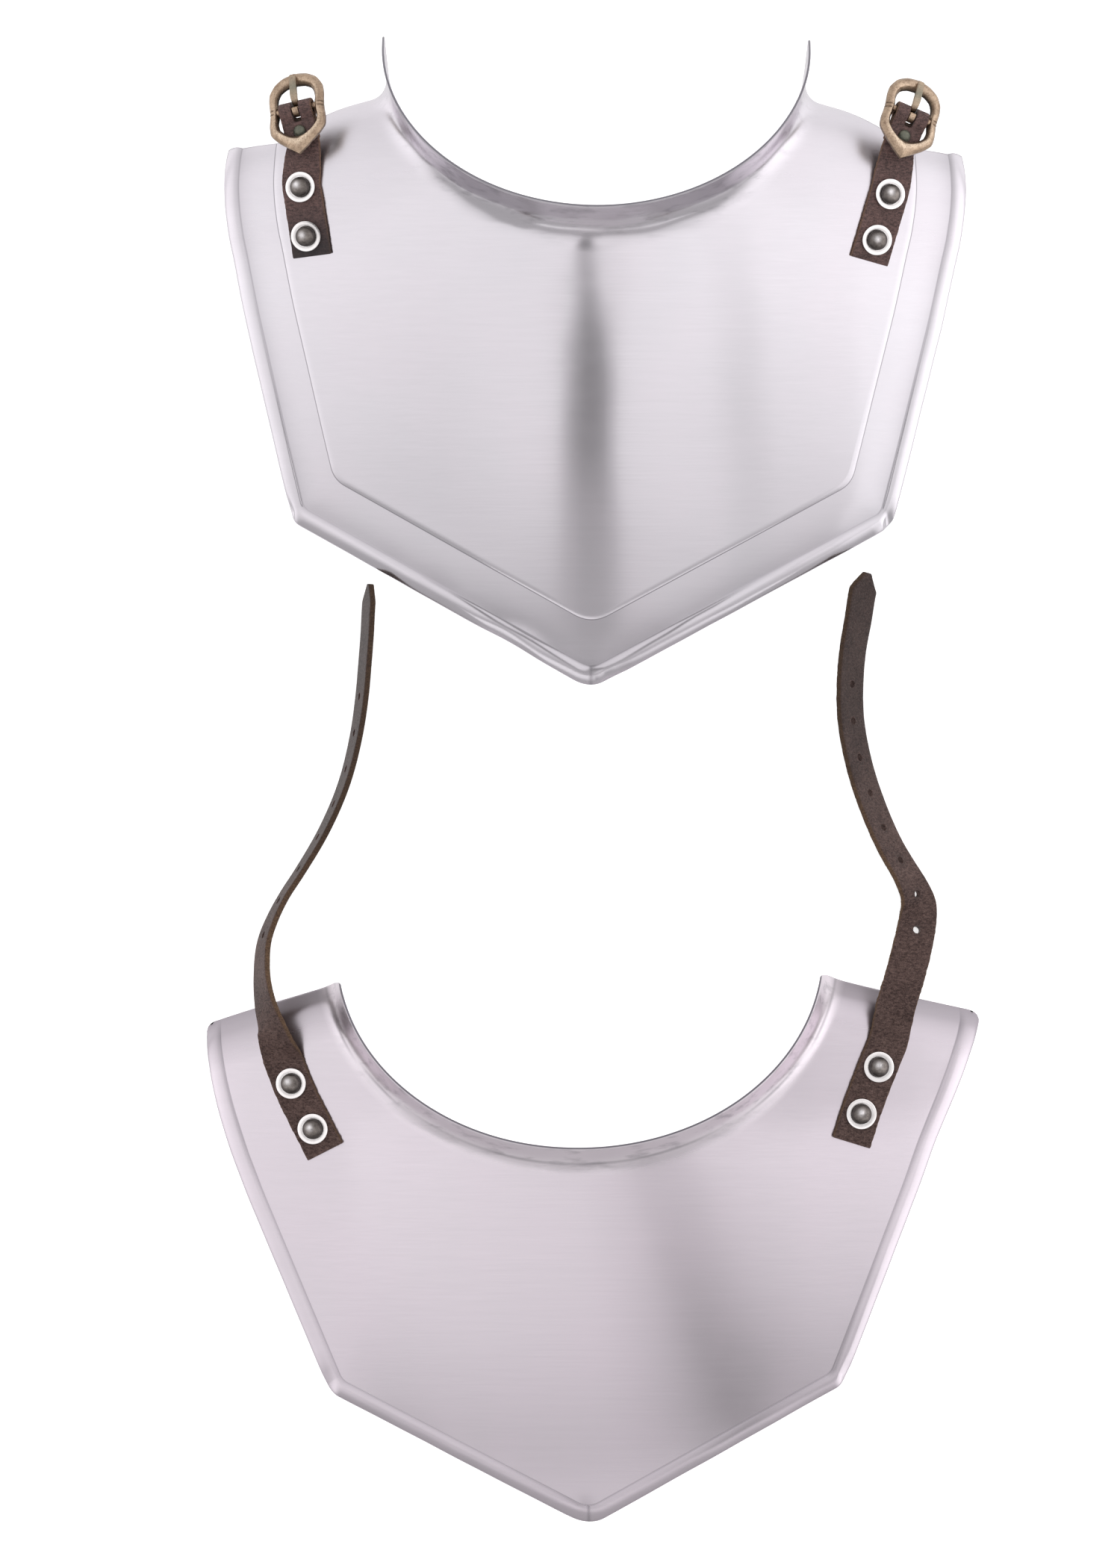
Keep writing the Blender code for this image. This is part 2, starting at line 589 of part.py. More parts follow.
def band(name, points, ups, widths, thick, look, slot=None):
    """Leather band along a middle line; a slot is (first row, last row, width)."""
    _, up, across = band_frames(points, ups)
    rows = len(points)
    cols = 4 if slot else 2
    open_rows = range(slot[0], slot[1]) if slot else ()
    verts = []
    for level in (0.5, -0.5):
        for i in range(rows):
            half = widths[i] / 2
            steps = (-half, half) if not slot else (-half, -slot[2] / 2, slot[2] / 2, half)
            for s in steps:
                verts.append(points[i] + across[i] * s + up[i] * thick * level)
    far = rows * cols
    faces = []
    for i in range(rows - 1):
        for j in range(cols - 1):
            if j == 1 and i in open_rows:
                continue
            a = i * cols + j
            faces.append((a, a + 1, a + cols + 1, a + cols))
            faces.append(tuple(v + far for v in (a + cols, a + cols + 1, a + 1, a)))
    edges = [(i * cols, (i + 1) * cols) for i in range(rows - 1)]
    edges += [(i * cols + cols - 1, (i + 1) * cols + cols - 1) for i in range(rows - 1)]
    edges += [(j, j + 1) for j in range(cols - 1)]
    edges += [((rows - 1) * cols + j, (rows - 1) * cols + j + 1) for j in range(cols - 1)]
    if slot:
        edges += [(i * cols + k, (i + 1) * cols + k) for i in open_rows for k in (1, 2)]
        edges += [(i * cols + 1, i * cols + 2) for i in (slot[0], slot[1])]
    for a, b in edges:
        faces.append((a, b, b + far, a + far))
    return solid(name, verts, faces, look)


def tab_path(side):
    """Middle line of a tab: along the plate, off the shoulder, round the bar and back under."""
    spots = TAB_PLACES[side]
    end, bar = spot_on(FRONT, spots["end"]), spot_on(FRONT, spots["bar"])
    leave = spot_on(FRONT, spots["rivets"][1]) + unit(bar - end) * TAB_LEAVE
    points, ups = [], []
    for share in np.linspace(0.0, 1.0, 6):
        x, y = end + (leave - end) * share
        p, n = seat(FRONT, x, y)
        points.append(p + n * (GAP + TAB_THICK / 2))
        ups.append(n)
    skew = math.radians(BUCKLE_SKEW) * (1 if side == "left" else -1)
    run = unit(bar - end)
    run = np.array([run[0] * math.cos(skew) - run[1] * math.sin(skew),
                    run[0] * math.sin(skew) + run[1] * math.cos(skew)])
    dip = math.radians(TAB_DIP)
    way = np.array([run[0] * math.cos(dip), run[1] * math.cos(dip), -math.sin(dip)])
    up = unit(ups[-1] - (ups[-1] @ way) * way)
    flat_half = GAP / 2 + TAB_THICK / 2
    drop = np.linalg.norm(bar - leave) * math.tan(dip)
    middle = np.array([*bar, points[-1][2] - drop]) - up * flat_half
    wide = BAR_RADIUS + GAP + TAB_THICK / 2
    knee = middle + up * flat_half - way * FOLD_KNEE
    last, turned = points[-1], ups[-1]
    for share in TAB_EASE:
        points.append(last + (knee - last) * share)
        ups.append(unit(turned * (1 - share) + up * share))
    eye_row = len(points)
    over = [(-e, flat_half) for e in (FOLD_KNEE, *FOLD_FLAT[::-1])]
    rise = [(-e, flat_half + (wide - flat_half) * share) for e, share in FOLD_RISE[::-1]]
    turns = [math.radians(a) for a in FOLD_TURNS]
    fold = [(wide * math.sin(a), wide * math.cos(a)) for a in turns]
    sink = [(e, -h) for e, h in rise[::-1]]
    under = [(-e, -flat_half) for e in (*FOLD_FLAT, FOLD_END)]
    line = np.array(over + rise + fold + sink + under)
    first = eye_row + len(over)
    slot = (first, first + len(rise) + len(fold) + len(sink) - 1)
    for (ahead, height), (ta, th) in zip(line, unit(np.gradient(line, axis=0))):
        points.append(middle + way * ahead + up * height)
        ups.append(up * ta - way * th)
    return dict(points=np.array(points), ups=np.array(ups), slot=slot, eye_row=eye_row,
                bar=middle, way=way, up=up, across=np.cross(way, up))


def make_tab(side):
    """Tab with its slot for the prong, and the small rivet that closes its fold."""
    path = tab_path(side)
    points, ups = path["points"], path["ups"]
    wide = np.full(len(points), STRAP_WIDTH)
    wide[path["eye_row"]:] = EYE_WIDTH
    wide[path["eye_row"] - 1] = (STRAP_WIDTH + EYE_WIDTH) / 2
    tab = band("tab_" + side, points, ups, wide, TAB_THICK, "leather", (*path["slot"], SLOT_WIDTH))
    drills = []
    for share in TAB_PLACES[side]["rivets"]:
        p, n = seat(FRONT, *spot_on(FRONT, share))
        drills.append(drill(p + n * (GAP + TAB_THICK / 2), n, HOLE, TAB_THICK))
    spot = path["bar"] - path["way"] * LOOP_RIVET_BACK
    drills.append(drill(spot, path["up"], LOOP_SHANK + GAP, TAB_THICK * 2))
    cut(tab, drills)
    rivet_at = frame(spot + path["up"] * (GAP / 2 + TAB_THICK + GAP), path["up"])
    depth = 2 * TAB_THICK + 3 * GAP
    dome = [(LOOP_HEAD[0] * math.sin(a), LOOP_HEAD[1] * math.cos(a))
            for a in (math.radians(d) for d in (0, 28, 56, 90))]
    end = -depth - LOOP_TAIL[1]
    profile = dome + [(LOOP_SHANK, 0.0), (LOOP_SHANK, -depth), (LOOP_TAIL[0], -depth),
                      (LOOP_TAIL[0] * 0.8, end), (0.0, end)]
    verts, faces = lathe(profile, 12, rivet_at)
    solid("loop_rivet_" + side, verts, faces, "verdigris")
    return tab


def strap_path(side):
    """Middle line of a long strap: along the back plate, over its shoulder, on edge on the floor."""
    spots, rows = STRAP_PLACES[side], STRAP_ROWS[side]
    hand = -1.0 if side == "left" else 1.0
    base = spot_on(BACK, spots["end"])
    knots, leans = [], []
    for across, ahead, rise, lean in rows:
        x, y = base + np.array([across, ahead]) * STRAP_REACH
        if rise is None:
            p, n = seat(BACK, x, y)
            knots.append(p + n * (GAP + STRAP_THICK / 2))
            leans.append(n)
        else:
            knots.append(np.array([x, y, rise * STRAP_WIDTH]))
            leans.append(None)
    knots = np.array(knots)
    way = unit(np.gradient(knots, axis=0))
    for i, row in enumerate(rows):
        if leans[i] is None:
            right = unit(np.cross(way[i], (0.0, 0.0, 1.0)))
            top = np.cross(right, way[i])
            a = math.radians(row[3])
            leans[i] = top * math.cos(a) + right * math.sin(a) * hand
    leans = np.array(leans)
    length = np.concatenate([[0.0], np.cumsum(np.linalg.norm(np.diff(knots, axis=0), axis=1))])
    table = [(length[i], *knots[i], *leans[i]) for i in range(len(knots))]
    at = np.linspace(0, length[-1], STRAP_STATIONS)
    points = np.stack([soft_table(at, table, c) for c in (1, 2, 3)], axis=1)
    ups = unit(np.stack([soft_table(at, table, c) for c in (4, 5, 6)], axis=1))
    return points, ups


def make_strap(side):
    """Long strap with its rivet holes and its row of punched holes."""
    points, ups = strap_path(side)
    length = np.concatenate([[0.0], np.cumsum(np.linalg.norm(np.diff(points, axis=0), axis=1))])
    left = length[-1] - length
    taper = np.minimum(left / TIP_TAPER, 1.0)
    widths = STRAP_WIDTH * (TIP_WIDTH + (1 - TIP_WIDTH) * taper)
    _, up, _ = band_frames(points, ups)
    strap = band("strap_" + side, points, ups, widths, STRAP_THICK, "leather")
    drills = []
    for share in STRAP_PLACES[side]["rivets"]:
        p, n = seat(BACK, *spot_on(BACK, share))
        drills.append(drill(p + n * (GAP + STRAP_THICK / 2), n, HOLE, STRAP_THICK))
    for k in range(PUNCH_COUNT):
        want = length[-1] - PUNCH_FIRST - k * PUNCH_PITCH
        spot = np.array([np.interp(want, length, points[:, c]) for c in range(3)])
        out = unit(np.array([np.interp(want, length, up[:, c]) for c in range(3)]))
        drills.append(drill(spot, out, PUNCH_RADIUS, STRAP_THICK, 8))
    cut(strap, drills)
    print("strap", side, "length", round(length[-1], 1))
    return strap


# Fixings

def depth_below(tree, point, normal, radius):
    """How far the sheet's inner face lies under a point of its outer face, round a rivet's tail."""
    origin, basis = frame(point, normal)
    below, deepest = 6 * STEEL, 0.0
    for a in np.radians(np.arange(0, 360, 45)):
        start = origin + radius * (basis[0] * math.cos(a) + basis[1] * math.sin(a)) - basis[2] * below
        hit = tree.ray_cast(Vector(start * MM), Vector(basis[2]))
        deepest = max(deepest, below - hit[3] / MM)
    return deepest


def rise_above(tree, point, normal, radius):
    """How far the leather's outer face stands over a point of the plate, under a washer."""
    origin, basis = frame(point, normal)
    above, highest = WASHER_RADIUS, 0.0
    for share in (0.5, 0.75, 1.0):
        for a in np.radians(np.arange(0, 360, 30)):
            start = origin + share * radius * (basis[0] * math.cos(a) + basis[1] * math.sin(a)) + basis[2] * above
            hit = tree.ray_cast(Vector(start * MM), Vector(-basis[2]), above * MM)
            if hit[0] is not None:
                highest = max(highest, above - hit[3] / MM)
    return highest


def make_fixing(name, sheet, leather, p, n):
    """Rivet through washer, leather and plate, with its washer seated on the leather."""
    on_leather = rise_above(leather, p, n, WASHER_RADIUS) + GAP
    top = on_leather + WASHER_THICK
    washer = ((HOLE, on_leather), (WASHER_RADIUS, on_leather), (WASHER_RADIUS, top - WASHER_BEVEL),
              (WASHER_RADIUS - WASHER_BEVEL, top), (HOLE, top))
    verts, faces = lathe(washer, 16, frame(p, n), closed=True)
    solid(name.replace("rivet", "washer"), verts, faces, "bright")
    head = top + GAP
    dome = [(HEAD_RADIUS * math.cos(a), head + HEAD_HEIGHT * math.sin(a))
            for a in (math.radians(d) for d in (0, 30, 58))]
    tail = -depth_below(sheet, p, n, TAIL_RADIUS) - GAP
    profile = [(0.0, head + HEAD_HEIGHT)] + dome[::-1] + [
        (SHANK, head), (SHANK, tail), (TAIL_RADIUS, tail), (TAIL_RADIUS * 0.8, tail - TAIL_HEIGHT),
        (0.0, tail - TAIL_HEIGHT)]
    verts, faces = lathe(profile, 12, frame(p, n))
    solid(name, verts, faces, "pewter")


def make_buckle(side, path):
    """Cast double loop with its centre bar; the origin is the middle of the bar."""
    lean = math.radians(BUCKLE_LEAN)
    across = path["across"]
    way = path["way"] * math.cos(lean) - path["up"] * math.sin(lean)
    up = path["up"] * math.cos(lean) + path["way"] * math.sin(lean)
    centre = path["bar"]
    rows = [np.array(r) * BUCKLE_LENGTH for r in BUCKLE_ROWS]
    ring = [(r, 1.0) for r in rows] + [(r, -1.0) for r in rows[-2:0:-1]]
    count, around = len(ring), len(BUCKLE_SECTION)
    verts, faces = [], []
    for r, hand in ring:
        for share, height in BUCKLE_SECTION:
            x = (r[2] + (r[0] - r[2]) * share) * hand
            y = r[3] + (r[1] - r[3]) * share
            verts.append(centre + across * x + way * y + up * height * BUCKLE_THICK)
    for i in range(count):
        j = (i + 1) % count
        for k in range(around):
            m = (k + 1) % around
            faces.append((i * around + k, j * around + k, j * around + m, i * around + m))
    frame_part = solid("buckle_" + side, verts, faces, "brass", centre)
    reach = (rows[BAR_ROW][0] + rows[BAR_ROW][2]) / 2
    profile = ((0.0, -reach), (BAR_RADIUS, -reach), (BAR_RADIUS, reach), (0.0, reach))
    verts, faces = lathe(profile, 12, (centre, np.array([way, up, across])))
    join(frame_part, solid("bar", verts, faces, None, centre))
    make_prong(side, centre, across, way, up)
    print("bar", side, "at", np.round(centre * MM, 5).tolist(), "axis", np.round(across, 5).tolist())


def make_prong(side, centre, across, way, up):
    """Flat strip bent round the bar and resting on the upper loop."""
    inner = BAR_RADIUS + GAP
    rest_on = BUCKLE_THICK / 2 + GAP
    turns = [math.radians(a) for a in PRONG_CURL]
    low = [(inner * math.cos(a), inner * math.sin(a)) for a in turns]
    high = [(y * (1 + PRONG_THICK / inner), z * (1 + PRONG_THICK / inner)) for y, z in low]
    top = BUCKLE_LENGTH * PRONG_REACH
    bend = inner + PRONG_THICK
    low += [(bend, inner + 0.25), (top * 0.43, rest_on - 0.1), (top * 0.6, rest_on), (top, rest_on)]
    face = rest_on + PRONG_THICK
    arm = [(bend, bend + 0.3), (top * 0.43, face + 0.15), (top * 0.68, face),
           (top - 0.6, face - 0.1), (top, face - 0.7)]
    loop = low + arm[::-1] + high[::-1]
    half = PRONG_WIDTH / 2
    verts = [centre + way * y + up * z + across * s for s in (-half, half) for y, z in loop]
    n = len(loop)
    faces = [tuple(range(n)), tuple(range(2 * n - 1, n - 1, -1))]
    faces += [(k, (k + 1) % n, n + (k + 1) % n, n + k) for k in range(n)]
    solid("prong_" + side, verts, faces, "brass", centre)


def tree_of(thing):
    """Search tree over the faces of an object that stands at the origin."""
    return BVHTree.FromPolygons([v.co.copy() for v in thing.data.vertices],
                                [tuple(f.vertices) for f in thing.data.polygons])


def make_plate(name, plate, rows, lip_rows, spots, make_leather):
    """Plate resting on the floor, its two leathers, and the rivets that hold them."""
    grid = plate_grid(plate, rows, lip_rows, COARSE)
    plate["lift"] = -min(grid[..., 2].min(), thick_grid(grid, STEEL)[..., 2].min())
    thing = shell(name + "_plate", place(plate, grid), STEEL, "plate")
    sheet = tree_of(thing)
    rivets = {(side, level): seat(plate, *spot_on(plate, share))
              for side in ("left", "right") for level, share in zip(("low", "high"), spots[side]["rivets"])}
    cut(thing, [drill(p, n, HOLE, STEEL * 2.5) for p, n in rivets.values()])
    leather = {side: tree_of(make_leather(side)) for side in ("left", "right")}
    for (side, level), (p, n) in rivets.items():
        make_fixing(f"{name}_rivet_{side}_{level}", sheet, leather[side], p, n)
    print(name, "lift", round(plate["lift"], 2))


def main():
    for thing in list(bpy.data.objects):
        bpy.data.objects.remove(thing, do_unlink=True)
    make_plate("front", FRONT, FRONT_OUTLINE, FRONT_LIP, TAB_PLACES, make_tab)
    make_plate("back", BACK, BACK_OUTLINE, BACK_LIP, STRAP_PLACES, make_strap)
    for side in ("left", "right"):
        make_buckle(side, tab_path(side))
    corners = np.array([o.matrix_world @ v.co for o in bpy.data.objects for v in o.data.vertices]) / MM
    print("box", corners.min(axis=0).round(1).tolist(), corners.max(axis=0).round(1).tolist(), "triangles",
          sum(len(p.vertices) - 2 for o in bpy.data.objects for p in o.data.polygons))


main()
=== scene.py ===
# %% [markdown]
# A gorget guards the throat, shoulders and upper chest. This one lies open on a table: the front
# plate above with its two buckled tabs, the back plate below with its two long straps. The plain
# solids of every piece are loaded first, as a frame that stays where it is. Each cell then dresses
# one kind of piece, and the new piece takes the place of its plain solid.

# %% Load the frame
import json
import math

import bmesh
import bpy
import numpy as np
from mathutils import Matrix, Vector


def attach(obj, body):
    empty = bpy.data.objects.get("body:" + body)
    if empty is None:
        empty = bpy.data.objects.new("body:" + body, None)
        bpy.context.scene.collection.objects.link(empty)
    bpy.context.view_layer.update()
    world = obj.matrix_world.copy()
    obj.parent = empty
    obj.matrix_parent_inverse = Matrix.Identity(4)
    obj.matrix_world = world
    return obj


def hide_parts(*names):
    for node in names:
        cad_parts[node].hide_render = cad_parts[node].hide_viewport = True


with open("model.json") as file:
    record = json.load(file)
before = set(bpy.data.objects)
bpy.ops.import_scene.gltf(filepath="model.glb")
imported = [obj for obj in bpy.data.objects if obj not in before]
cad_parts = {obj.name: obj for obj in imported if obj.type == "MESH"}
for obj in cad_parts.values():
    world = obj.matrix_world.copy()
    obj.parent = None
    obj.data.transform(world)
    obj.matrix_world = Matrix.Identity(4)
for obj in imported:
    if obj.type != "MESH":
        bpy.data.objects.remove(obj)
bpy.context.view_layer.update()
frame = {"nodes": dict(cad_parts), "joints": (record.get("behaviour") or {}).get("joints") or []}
MM = 0.001

# %% [markdown]
# The dressed pieces have to lie exactly where the solids lie, so they are drawn from the same
# sizes, in millimetres. Sheet and leather come first, then the fixings and the buckles.

# %% Sizes of sheet, leather and fixings
STEEL, GAP = 1.2, 0.3
TAB_THICK, STRAP_THICK, STRAP_WIDTH = 2.0, 2.6, 18.0
SHANK, WASHER_RADIUS = 1.7, 7.2
HEAD_RADIUS, HEAD_HEIGHT, TAIL_RADIUS, TAIL_HEIGHT = 4.9, 3.4, 3.4, 1.0
LOOP_SHANK, LOOP_HEAD, LOOP_TAIL, LOOP_RIVET_BACK = 1.2, (2.9, 1.9), (2.4, 0.8), 10.2
BUCKLE_LENGTH, BUCKLE_WAIST, BUCKLE_THICK = 41.2, 0.205, 4.2
BAR_RADIUS, BUCKLE_LEAN, BUCKLE_SKEW = 1.5, 25.5, 5.0
PRONG_WIDTH, PRONG_THICK, PRONG_REACH = 3.0, 1.7, 0.425
EYE_WIDTH = 2 * (BUCKLE_WAIST * BUCKLE_LENGTH - 0.65)
SLOT_WIDTH = PRONG_WIDTH + 3 * GAP

# %% [markdown]
# A plate could be sculpted, or bent from a flat grid. Here it is bent: every point has a place on
# the flat pattern, and one formula lifts it into the dome of the chest and turns it over the
# shoulder along a slanting fold. Rows and columns that follow the neck and the outline then keep
# the border, the rolled rim and the collar crisp at any fineness.

# %% Sizes of the two plates
FRONT = dict(
    at=(0.2, 257.2), turned=-0.47, half_width=168.0, drop=216.5, lift=-0.07,
    crown=60.0, fall=58.0, fall_from=22.0, fall_power=1.6, chest_radius=450.0,
    shoulder_slope=15.5, fold_start=38.4, fold_radius=36.0, fold_turn=90.0, fold_soft=14.0, flap=None,
    neck=(97.0, 82.8, 72.0), neck_stop=73.5, lip=(96.6, 72.0), fillet=9.5, lip_end=0.0,
    emboss_side=25.2, emboss_foot=28.2, emboss_depth=0.34, emboss_step=2.4,
    rim_side=6.6, rim_foot=8.0, rim_height=0.65, corner_round=4.0, tip_round=9.0,
    emboss_corner=6.0, emboss_tip=9.0, sway=0.0,
    columns=dict(tip=0.05, foot=0.37, corner=0.13, side=0.45),
)
FRONT_OUTLINE = (
    (0.0, 1.0), (0.807, 0.655), (0.862, 0.480), (0.900, 0.356), (0.938, 0.232), (0.955, 0.1695),
    (0.971, 0.107), (0.983, 0.067), (0.994, 0.005), (0.998, -0.045), (0.997, -0.160),
)
FRONT_LIP = (
    (0.00, 0.0, 19.0), (0.25, 24.3, 19.3), (0.47, 45.6, 20.3), (0.54, 53.5, 20.6),
    (0.645, 67.4, 21.6), (0.735, 80.5, 22.8), (0.87, 92.6, 25.7), (1.00, 94.0, 26.2),
)
BACK = dict(
    at=(-5.1, -166.3), turned=0.9, half_width=175.6, drop=171.0, lift=-1.39,
    crown=36.0, fall=34.0, fall_from=26.0, fall_power=1.5, chest_radius=620.0,
    shoulder_slope=15.0, fold_start=84.6, fold_radius=16.0, fold_turn=50.0, fold_soft=11.0, flap=106.6,
    neck=(114.5, 95.4, 88.0), neck_stop=79.0, lip=(110.0, 88.0), fillet=6.0, lip_end=0.38,
    emboss_side=0.0, emboss_foot=0.0, emboss_depth=0.0, emboss_step=0.0,
    rim_side=7.4, rim_foot=7.6, rim_height=0.65, corner_round=4.0, tip_round=8.0,
    emboss_corner=0.0, emboss_tip=0.0, sway=5.5,
    columns=dict(tip=0.04, foot=0.30, corner=0.10, side=0.56),
)
BACK_OUTLINE = (
    (0.0, 1.0), (0.6606, 0.6333), (0.861, 0.120), (0.889, 0.0415), (0.917, -0.0374),
    (0.945, -0.116), (0.969, -0.195), (0.9875, -0.2737), (0.998, -0.345), (1.000, -0.400),
)
BACK_LIP = (
    (0.00, 0.0, 12.5), (0.28, 22.5, 12.5), (0.54, 44.5, 12.6), (0.78, 65.0, 12.8), (1.00, 83.5, 13.0),
)
FINE = dict(tip=5, foot=30, corner=9, side=30, fold=22, collar=9, fillet=9, face=18, step=6, band=7, rim=12)
GROOVE_ROUND, ROLL_PAST, ROLL_SKEW, ROLL_TUCK = 0.7, 1.03, 0.8, 0.35
VALLEY, RIM_FADE, LIP_CORNER, EDGE_CORNER = 0.40, 12.0, 5.0, 4.5
# The front plate's shoulder flap ends this far from its start, so it stops above the table. At 160
# it would reach the table, as the plain solid does.
FLAP_REACH, FLAP_CLEAR = 23.0, 0.5
CRISP = 0.4
SWAY_FROM, SWAY_RISE = 0.6, 55.0


# %% Small vector helpers
def unit(v):
    v = np.asarray(v, dtype=float)
    return v / np.linalg.norm(v, axis=-1, keepdims=True)


def soft_table(at, rows, column):
    """Value of a table column at a share, with no kinks at the rows."""
    xs = np.array([r[0] for r in rows])
    ys = np.array([r[column] for r in rows])
    slopes = np.gradient(ys, xs)
    at = np.clip(np.asarray(at, dtype=float), xs[0], xs[-1])
    k = np.clip(np.searchsorted(xs, at, side="right") - 1, 0, len(xs) - 2)
    step = xs[k + 1] - xs[k]
    t = (at - xs[k]) / step
    return ((2 * t ** 3 - 3 * t ** 2 + 1) * ys[k] + (t ** 3 - 2 * t ** 2 + t) * step * slopes[k]
            + (3 * t ** 2 - 2 * t ** 3) * ys[k + 1] + (t ** 3 - t ** 2) * step * slopes[k + 1])


def soft_rows(at, table, columns):
    return np.stack([soft_table(at, table, column) for column in columns], axis=-1)


def run_length(points):
    """Length walked from the first point to each point."""
    return np.concatenate([[0.0], np.cumsum(np.linalg.norm(np.diff(points, axis=0), axis=1))])


def pick(at, length, values):
    """Rows of values, one to each walked length, read off at other lengths."""
    return np.stack([np.interp(at, length, column) for column in np.transpose(values)], axis=-1)


def along(points, shares):
    """Points of a polyline at shares of its length."""
    length = run_length(points)
    return pick(np.asarray(shares) * length[-1], length, points)


def wander(points, size, seed, waves=9):
    """Slow unevenness between -1 and 1, the same every time, with bumps of about one size."""
    rng = np.random.default_rng(seed)
    total = np.zeros(points.shape[:-1])
    for _ in range(waves):
        way = unit(rng.normal(size=points.shape[-1]))
        total += np.sin(points @ way * 2 * math.pi / (size * rng.uniform(0.7, 1.5)) + rng.uniform(0, 6.3))
    return total / (waves / 2)


# %% Bend the flat pattern into the formed sheet
def shoulder_way(plate):
    """Cosine and sine of the shoulder's slope."""
    slope = math.radians(plate["shoulder_slope"])
    return math.cos(slope), math.sin(slope)
def form(plate, x, y):
    side, ax = np.where(x < 0, -1.0, 1.0), np.abs(x)
    c, s = shoulder_way(plate)
    across, up = ax * c - y * s, ax * s + y * c
    radius, most = plate["fold_radius"], math.radians(plate["fold_turn"])
    over, soft = up - plate["fold_start"], plate["fold_soft"]
    over = np.where(over < soft, np.maximum(over + soft, 0.0) ** 2 / (4 * soft), over)
    turn = np.minimum(over / radius, most)
    past = over - turn * radius
    up2 = up - over + radius * np.sin(turn) + past * np.cos(turn)
    sunk = radius * (1.0 - np.cos(turn)) + past * np.sin(turn)
    px, py = across * c + up2 * s, up2 * c - across * s
    share = np.maximum(plate["fall_from"] - py, 0.0) / (plate["fall_from"] + plate["drop"])
    z = (plate["crown"] - plate["fall"] * share ** plate["fall_power"]
         - px ** 2 / (2 * plate["chest_radius"]) - sunk)
    return np.stack([side * px, py, z], axis=-1)


def face_normal(plate, x, y):
    """Outward direction of the sheet at a point of its flat pattern."""
    e = 0.05
    dx = form(plate, np.abs(x) + e, y) - form(plate, np.abs(x) - e, y)
    dy = form(plate, np.abs(x), y + e) - form(plate, np.abs(x), y - e)
    n = unit(np.cross(dx, dy))
    n[..., 0] *= np.where(x < 0, -1.0, 1.0)
    return n


def unfold(plate, x, y):
    """Flat pattern point under a point of the plan."""
    side, ax = np.where(x < 0, -1.0, 1.0), np.abs(x)
    c, s = shoulder_way(plate)
    across, up = ax * c - y * s, ax * s + y * c
    radius, most = plate["fold_radius"], math.radians(plate["fold_turn"])
    over = np.maximum(up - plate["fold_start"], 0.0)
    bent = radius * np.arcsin(np.clip(over / radius, 0.0, math.sin(most)))
    past = np.maximum(over - radius * math.sin(most), 0.0) / max(math.cos(most), 0.05)
    flat = np.minimum(up, plate["fold_start"]) + bent + past
    return side * (across * c + flat * s), flat * c - across * s


def up_share(plate, point):
    """Distance of flat pattern points across the shoulder fold."""
    c, s = shoulder_way(plate)
    return np.abs(point[..., 0]) * s + point[..., 1] * c


def flap_end(plate, start, way):
    """Last flat point of the shoulder flap from a start: at its cut, or where it meets the floor."""
    low, high = 0.0, FLAP_REACH
    for _ in range(50):
        mid = (low + high) / 2
        p = np.array(start) + mid * np.array(way)
        if plate["flap"] is None:
            inside = form(plate, p[0], p[1])[2] > FLAP_CLEAR
        else:
            inside = up_share(plate, p) < plate["flap"]
        low, high = (mid, high) if inside else (low, mid)
    return np.array(start) + low * np.array(way)


# %% Place a plate on the table, and find its face under a point of the plan
def turned_by(plate):
    a = math.radians(plate["turned"])
    return np.array([[math.cos(a), -math.sin(a), 0.0], [math.sin(a), math.cos(a), 0.0], [0.0, 0.0, 1.0]])


def place(plate, points):
    points = np.array(points, dtype=float)
    out = np.abs(points[..., 0]) / plate["half_width"]
    wide = np.clip((out - SWAY_FROM) / (1 - SWAY_FROM), 0, 1) ** 2
    points[..., 0] += plate["sway"] * wide * np.clip(points[..., 1] / SWAY_RISE, 0, 1)
    return points @ turned_by(plate).T + np.array([*plate["at"], plate["lift"]])


def spot_on(plate, share):
    return np.array(plate["at"]) + np.array(share) * (plate["half_width"], plate["drop"])


def seat(plate, x, y):
    """Point and outward direction of a plate's outer face over a place of the plan."""
    local = (np.array([x, y, 0.0]) - [*plate["at"], 0.0]) @ turned_by(plate)
    fx, fy = unfold(plate, np.array(local[0]), np.array(local[1]))
    return place(plate, form(plate, fx, fy)), face_normal(plate, fx, fy) @ turned_by(plate).T


def seated(plate, x, y, high):
    """Point some way over a plate's face, and the way that the face looks."""
    p, n = seat(plate, x, y)
    return p + n * high, n


print("chest height under the collar", seat(FRONT, 0.0, 170.0)[0].round(1))

# %% [markdown]
# The outline is a short table of shares, so a corner moves with the plate's size. The border step
# and the groove of the rolled rim are the same outline moved inwards. Columns run from the neck's
# crease to the edge, and all lines share them, which keeps the reflections smooth.

# %% Lines that the plate's columns follow
def neck_crease(plate):
    wide, deep, middle = plate["neck"]
    angles = np.radians(np.arange(0.0, plate["neck_stop"] + 0.01, 0.5))
    x, y = unfold(plate, wide * np.sin(angles), middle - deep * np.cos(angles))
    points = np.stack([x, y], axis=1)
    c, s = shoulder_way(plate)
    return np.vstack([points, flap_end(plate, points[-1], (s, c))])


